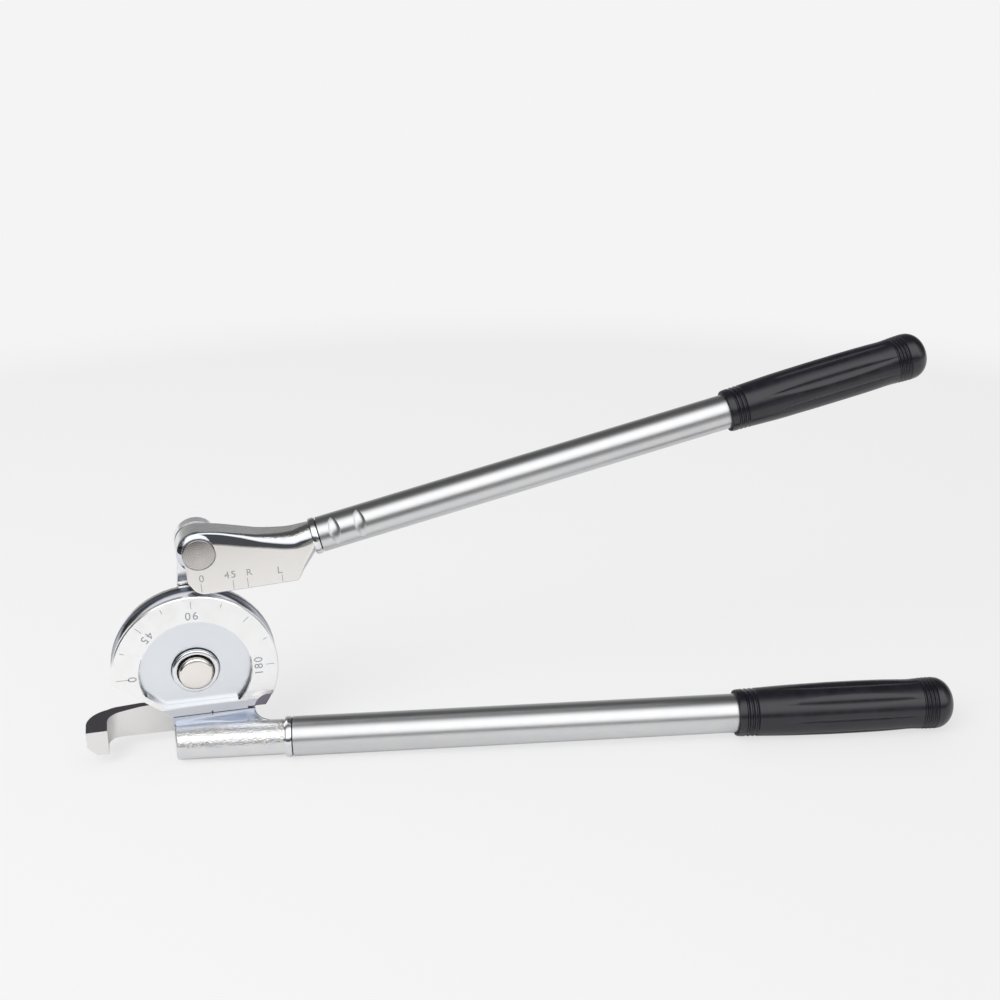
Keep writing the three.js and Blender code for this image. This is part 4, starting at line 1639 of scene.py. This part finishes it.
@dataclass
class Link:
    """The link arm with its pins, rings and washers."""

    die_pin: Pin
    head_pin: Pin

    def build(self, shop: Workshop) -> None:
        """Makes the link's pieces.

        Args:
            shop: the frames and finishes.
        """
        shop.keep(Look.PLATE, 0.4, "link_arm")
        shop.keep(Look.BRIGHT, 0.15, "die_thrust_washer", "head_thrust_washer")
        shop.keep(Look.BLACK, 0.15, "die_pin_ring", "head_pin_ring")
        for pin in (self.die_pin, self.head_pin):
            pin.build(shop)


@dataclass
class Latch:
    """The tube latch with its screw and washers."""

    def build(self, shop: Workshop) -> None:
        """Dresses the latch's pieces.

        Args:
            shop: the frames and finishes.
        """
        shop.keep(Look.LATCH, 0.5, "latch_hook")
        shop.keep(Look.BLACK, 0.3, "latch_screw")
        shop.keep(Look.BRIGHT, 0.1, "latch_washer", "latch_spring_washer")


# Studio


@dataclass(frozen=True)
class Card:
    """A dark card in the studio that only mirrors see.

    Direction points to it, reach and fade are the cosines of the angles where it is full and where it
    ends, and share is how much light it leaves.
    """

    direction: tuple[float, float, float]
    reach: float
    fade: float
    share: float


@dataclass(frozen=True)
class Studio:
    """A pale floor, a world that stands for the soft boxes round it, one soft lamp and the camera.

    Lengths are in metres and angles in degrees. The camera's place is from the die's axis.
    """

    camera_from_die: tuple[float, float, float] = (-0.0191, -0.8009, 0.4122)
    azimuth: float = -15.14
    elevation: float = 20.79
    roll: float = 0.228
    lens: float = 50.0
    sensor: float = 36.0
    floor_radius: float = 14.0
    floor_sides: int = 96
    floor_colour: str = "#f1f1f1"
    backdrop_colour: str = "#f4f4f4"
    fade: Pair = (0.5, 1.3)
    floor_glow: float = 0.75
    ambient: float = 0.58
    lamp_energy: float = 32.0
    lamp_size: float = 1.4
    lamp_place: tuple[float, float, float] = (-1.3, -1.0, 1.5)
    # Beyond its slanting front edge the floor is dark to mirrors.
    edge_slant: float = 0.53
    front_edge: Pair = (-0.53, -0.44)
    # How bright it is there on the left and on the right, and where it turns from one to the other.
    front_dark: Pair = (0.05, 0.36)
    front_turn: Pair = (-0.25, 0.08)
    # Under the tool mirrors see a painted shadow on the floor, from here to the right and to the back.
    under_shadow: float = 0.12
    under_side: Pair = (-0.246, -0.236)
    under_edge: Pair = (-0.055, -0.02)
    # What a mirror sees round the object, as (degrees from straight up towards the front, brightness).
    glow: tuple[Pair, ...] = (
        (-90, 0.3), (-82, 0.24), (-70, 0.26), (-56, 0.07), (-8, 0.05), (4, 0.2), (22, 0.96), (32, 1.0),
        (55, 1.0), (65, 0.88), (73, 0.5), (77, 0.06), (89, 0.06), (95, 0.5),
    )
    glow_strength: float = 1.48
    cards: tuple[Card, ...] = (
        Card((-0.95, -0.1, 0.3), 0.9, 0.8, 0.1), Card((0.93, 0.0, 0.37), 0.94, 0.88, 0.28))

    def build(self, die: Vector) -> None:
        """Sets the stage.

        Args:
            die: where the die's axis is, in the row frame.
        """
        self.add_floor()
        self.add_world()
        self.add_lamp()
        self.add_camera(die)

    def add_floor(self) -> None:
        """A round pale floor that fades into the backdrop."""
        turns = [math.tau * i / self.floor_sides for i in range(self.floor_sides)]
        rim = [(self.floor_radius * math.cos(t), self.floor_radius * math.sin(t), 0) for t in turns]
        mesh = bpy.data.meshes.new("floor")
        mesh.from_pydata(rim, [], [list(range(self.floor_sides))])
        material = bpy.data.materials.new("pale_floor")
        tree = empty_tree(material)
        place = add_node(tree, "TexCoord", output="Object")
        mixed = {0: self.dark_share(tree, place), 1: self.pale(tree, place), 2: self.front(tree, place)}
        add_node(tree, "OutputMaterial", {"Surface": add_node(tree, "MixShader", mixed)})
        mesh.materials.append(material)
        in_scene("floor", mesh)

    def pale(self, tree: Tree, place: Socket) -> Socket:
        """The floor as it is lit, with a glow that the camera sees and that grows with the distance.

        Args:
            tree: the floor's tree.
            place: the point on the floor.

        Returns:
            The shader.
        """
        seen = add_node(tree, "LightPath", output="Is Camera Ray")
        near = add_node(tree, "Math", {0: seen, 1: self.floor_glow}, operation="MULTIPLY")
        distance = add_node(tree, "VectorMath", {0: place}, "Value", operation="LENGTH")
        start, end = self.fade
        far = add_node(tree, "MapRange", {"Value": distance, "From Min": start, "From Max": end}, **EASED)
        fade = add_node(tree, "Math", {0: near, 1: far}, operation="MAXIMUM")
        matt = add_node(tree, "BsdfDiffuse", {"Color": linear(self.floor_colour)})
        glow = add_node(tree, "Emission", {"Color": linear(self.backdrop_colour)})
        return add_node(tree, "MixShader", {0: fade, 1: matt, 2: glow})

    def front(self, tree: Tree, place: Socket) -> Socket:
        """What mirrors see of the floor in front, from the left to the right.

        Args:
            tree: the floor's tree.
            place: the point on the floor.

        Returns:
            The shader.
        """
        (start, end), (left, right) = self.front_turn, self.front_dark
        across = {"Value": add_node(tree, "SeparateXYZ", {0: place}, "X"), "From Min": start, "From Max": end,
                  "To Min": left, "To Max": right}
        return add_node(tree, "Emission", {"Strength": add_node(tree, "MapRange", across, **EASED)})

    def dark_share(self, tree: Tree, place: Socket) -> Socket:
        """How much of the floor is dark to mirrors: beyond its front edge, and under the tool as a painted
        shadow.

        Args:
            tree: the floor's tree.
            place: the point on the floor.

        Returns:
            The share.
        """
        slant = {0: place, 1: (self.edge_slant, 1.0, 0.0)}
        back = add_node(tree, "VectorMath", slant, "Value", operation="DOT_PRODUCT")
        across, depth = (add_node(tree, "SeparateXYZ", {0: place}, axis) for axis in "XY")
        shares = []
        for value, (start, end), low, high in (
            (back, self.front_edge, 1, 0), (across, self.under_side, 0, self.under_shadow),
            (depth, self.under_edge, 0, 1),
        ):
            span = {"Value": value, "From Min": start, "From Max": end, "To Min": low, "To Max": high}
            shares.append(add_node(tree, "MapRange", span, **EASED))
        beyond, beside, behind = shares
        # The floor under the tool gets a painted shadow that only mirrors see.
        under = add_node(tree, "Math", {0: beside, 1: behind}, operation="MULTIPLY")
        darker = add_node(tree, "Math", {0: beyond, 1: under}, operation="MAXIMUM")
        mirror = add_node(tree, "LightPath", output="Is Glossy Ray")
        return add_node(tree, "Math", {0: mirror, 1: darker}, operation="MULTIPLY")

    def add_world(self) -> None:
        """Pale to the camera, even to matt surfaces and banded like soft boxes to mirrors."""
        world = bpy.data.worlds.new("studio")
        bpy.context.scene.world = world
        tree = empty_tree(world)
        direction = add_node(tree, "TexCoord", output="Generated")
        bands = {0: self.bands(tree, direction), "Scale": self.glow_strength}
        mirrored = add_node(tree, "VectorMath", bands, operation="SCALE")
        for card in self.cards:
            faced = {0: direction, 1: Vector(card.direction).normalized()}
            towards = add_node(tree, "VectorMath", faced, "Value", operation="DOT_PRODUCT")
            span = {"Value": towards, "From Min": card.fade, "From Max": card.reach,
                    "To Min": 1, "To Max": card.share}
            left = add_node(tree, "MapRange", span, **EASED)
            mirrored = add_node(tree, "VectorMath", {0: mirrored, "Scale": left}, operation="SCALE")
        even = (self.ambient, self.ambient, self.ambient, 1)
        soft = {0: add_node(tree, "LightPath", output="Is Glossy Ray"), 6: even, 7: mirrored}
        pale = {0: add_node(tree, "LightPath", output="Is Camera Ray"), 7: linear(self.backdrop_colour),
                6: add_node(tree, "Mix", soft, 2, data_type="RGBA")}
        light = add_node(tree, "Background", {"Color": add_node(tree, "Mix", pale, 2, data_type="RGBA")})
        add_node(tree, "OutputWorld", {"Surface": light})

    def bands(self, tree: Tree, direction: Socket) -> Socket:
        """The bright and dark bands of the studio.

        Args:
            tree: the world's tree.
            direction: where a ray goes.

        Returns:
            The band's brightness there.
        """
        depth, height = (add_node(tree, "SeparateXYZ", {0: direction}, axis) for axis in "YZ")
        forward = add_node(tree, "Math", {0: depth, 1: -1.0}, operation="MULTIPLY")
        turn = add_node(tree, "Math", {0: forward, 1: height}, operation="ARCTAN2")
        share = add_node(tree, "MapRange", {"Value": turn, "From Min": -math.pi, "From Max": math.pi})
        ramp = add_node(tree, "ValToRGB", {0: share})
        stops = ramp.node.color_ramp.elements
        for i, (degrees, bright) in enumerate(self.glow):
            at = (degrees + 180) / 360
            stop = stops[i] if i < 2 else stops.new(at)
            stop.position = at
            stop.color = (bright, bright, bright, 1)
        return ramp

    def add_lamp(self) -> None:
        """One soft lamp from the front left, which mirrors don't show."""
        lamp = bpy.data.lights.new("soft_box", "AREA")
        lamp.energy = self.lamp_energy
        lamp.size = self.lamp_size
        box = in_scene("soft_box", lamp)
        box.location = self.lamp_place
        box.rotation_euler = (-Vector(self.lamp_place)).to_track_quat("-Z", "Y").to_euler()
        box.visible_glossy = False

    def add_camera(self, die: Vector) -> None:
        """The camera of the photograph.

        Args:
            die: where the die's axis is, in the row frame.
        """
        data = bpy.data.cameras.new("camera")
        data.lens = self.lens
        data.sensor_width = self.sensor
        camera = in_scene("camera", data)
        camera.location = die + Vector(self.camera_from_die)
        aim = (Matrix.Rotation(math.radians(self.azimuth), 3, "Z")
               @ Matrix.Rotation(math.radians(90 - self.elevation), 3, "X")
               @ Matrix.Rotation(math.radians(self.roll), 3, "Z"))
        camera.rotation_euler = aim.to_euler()
        bpy.context.scene.camera = camera


def main() -> None:
    """Builds the studio and each sub-assembly in order."""
    logging.basicConfig(level=logging.INFO, format="%(name)s: %(message)s")
    bpy.context.scene.view_settings.view_transform = "Standard"
    shop = Workshop(Places(), finishes())
    Studio().build(shop.places.die().translation)
    link = Link(Pin("die_pin", "link_swing", domed_head(10.7, 3.6, 0.5, 1.9, 4.2), shank=8.0, seat=0.2),
                Pin("head_pin", "head_pivot", flat_head(9.7, 1.2, 0.6, 0.5, 3.2), shank=7.4, seat=1.6))
    for part in (LowerHandle(), Latch(), link, UpperHandle()):
        part.build(shop)


if __name__ == "__main__":
    main()
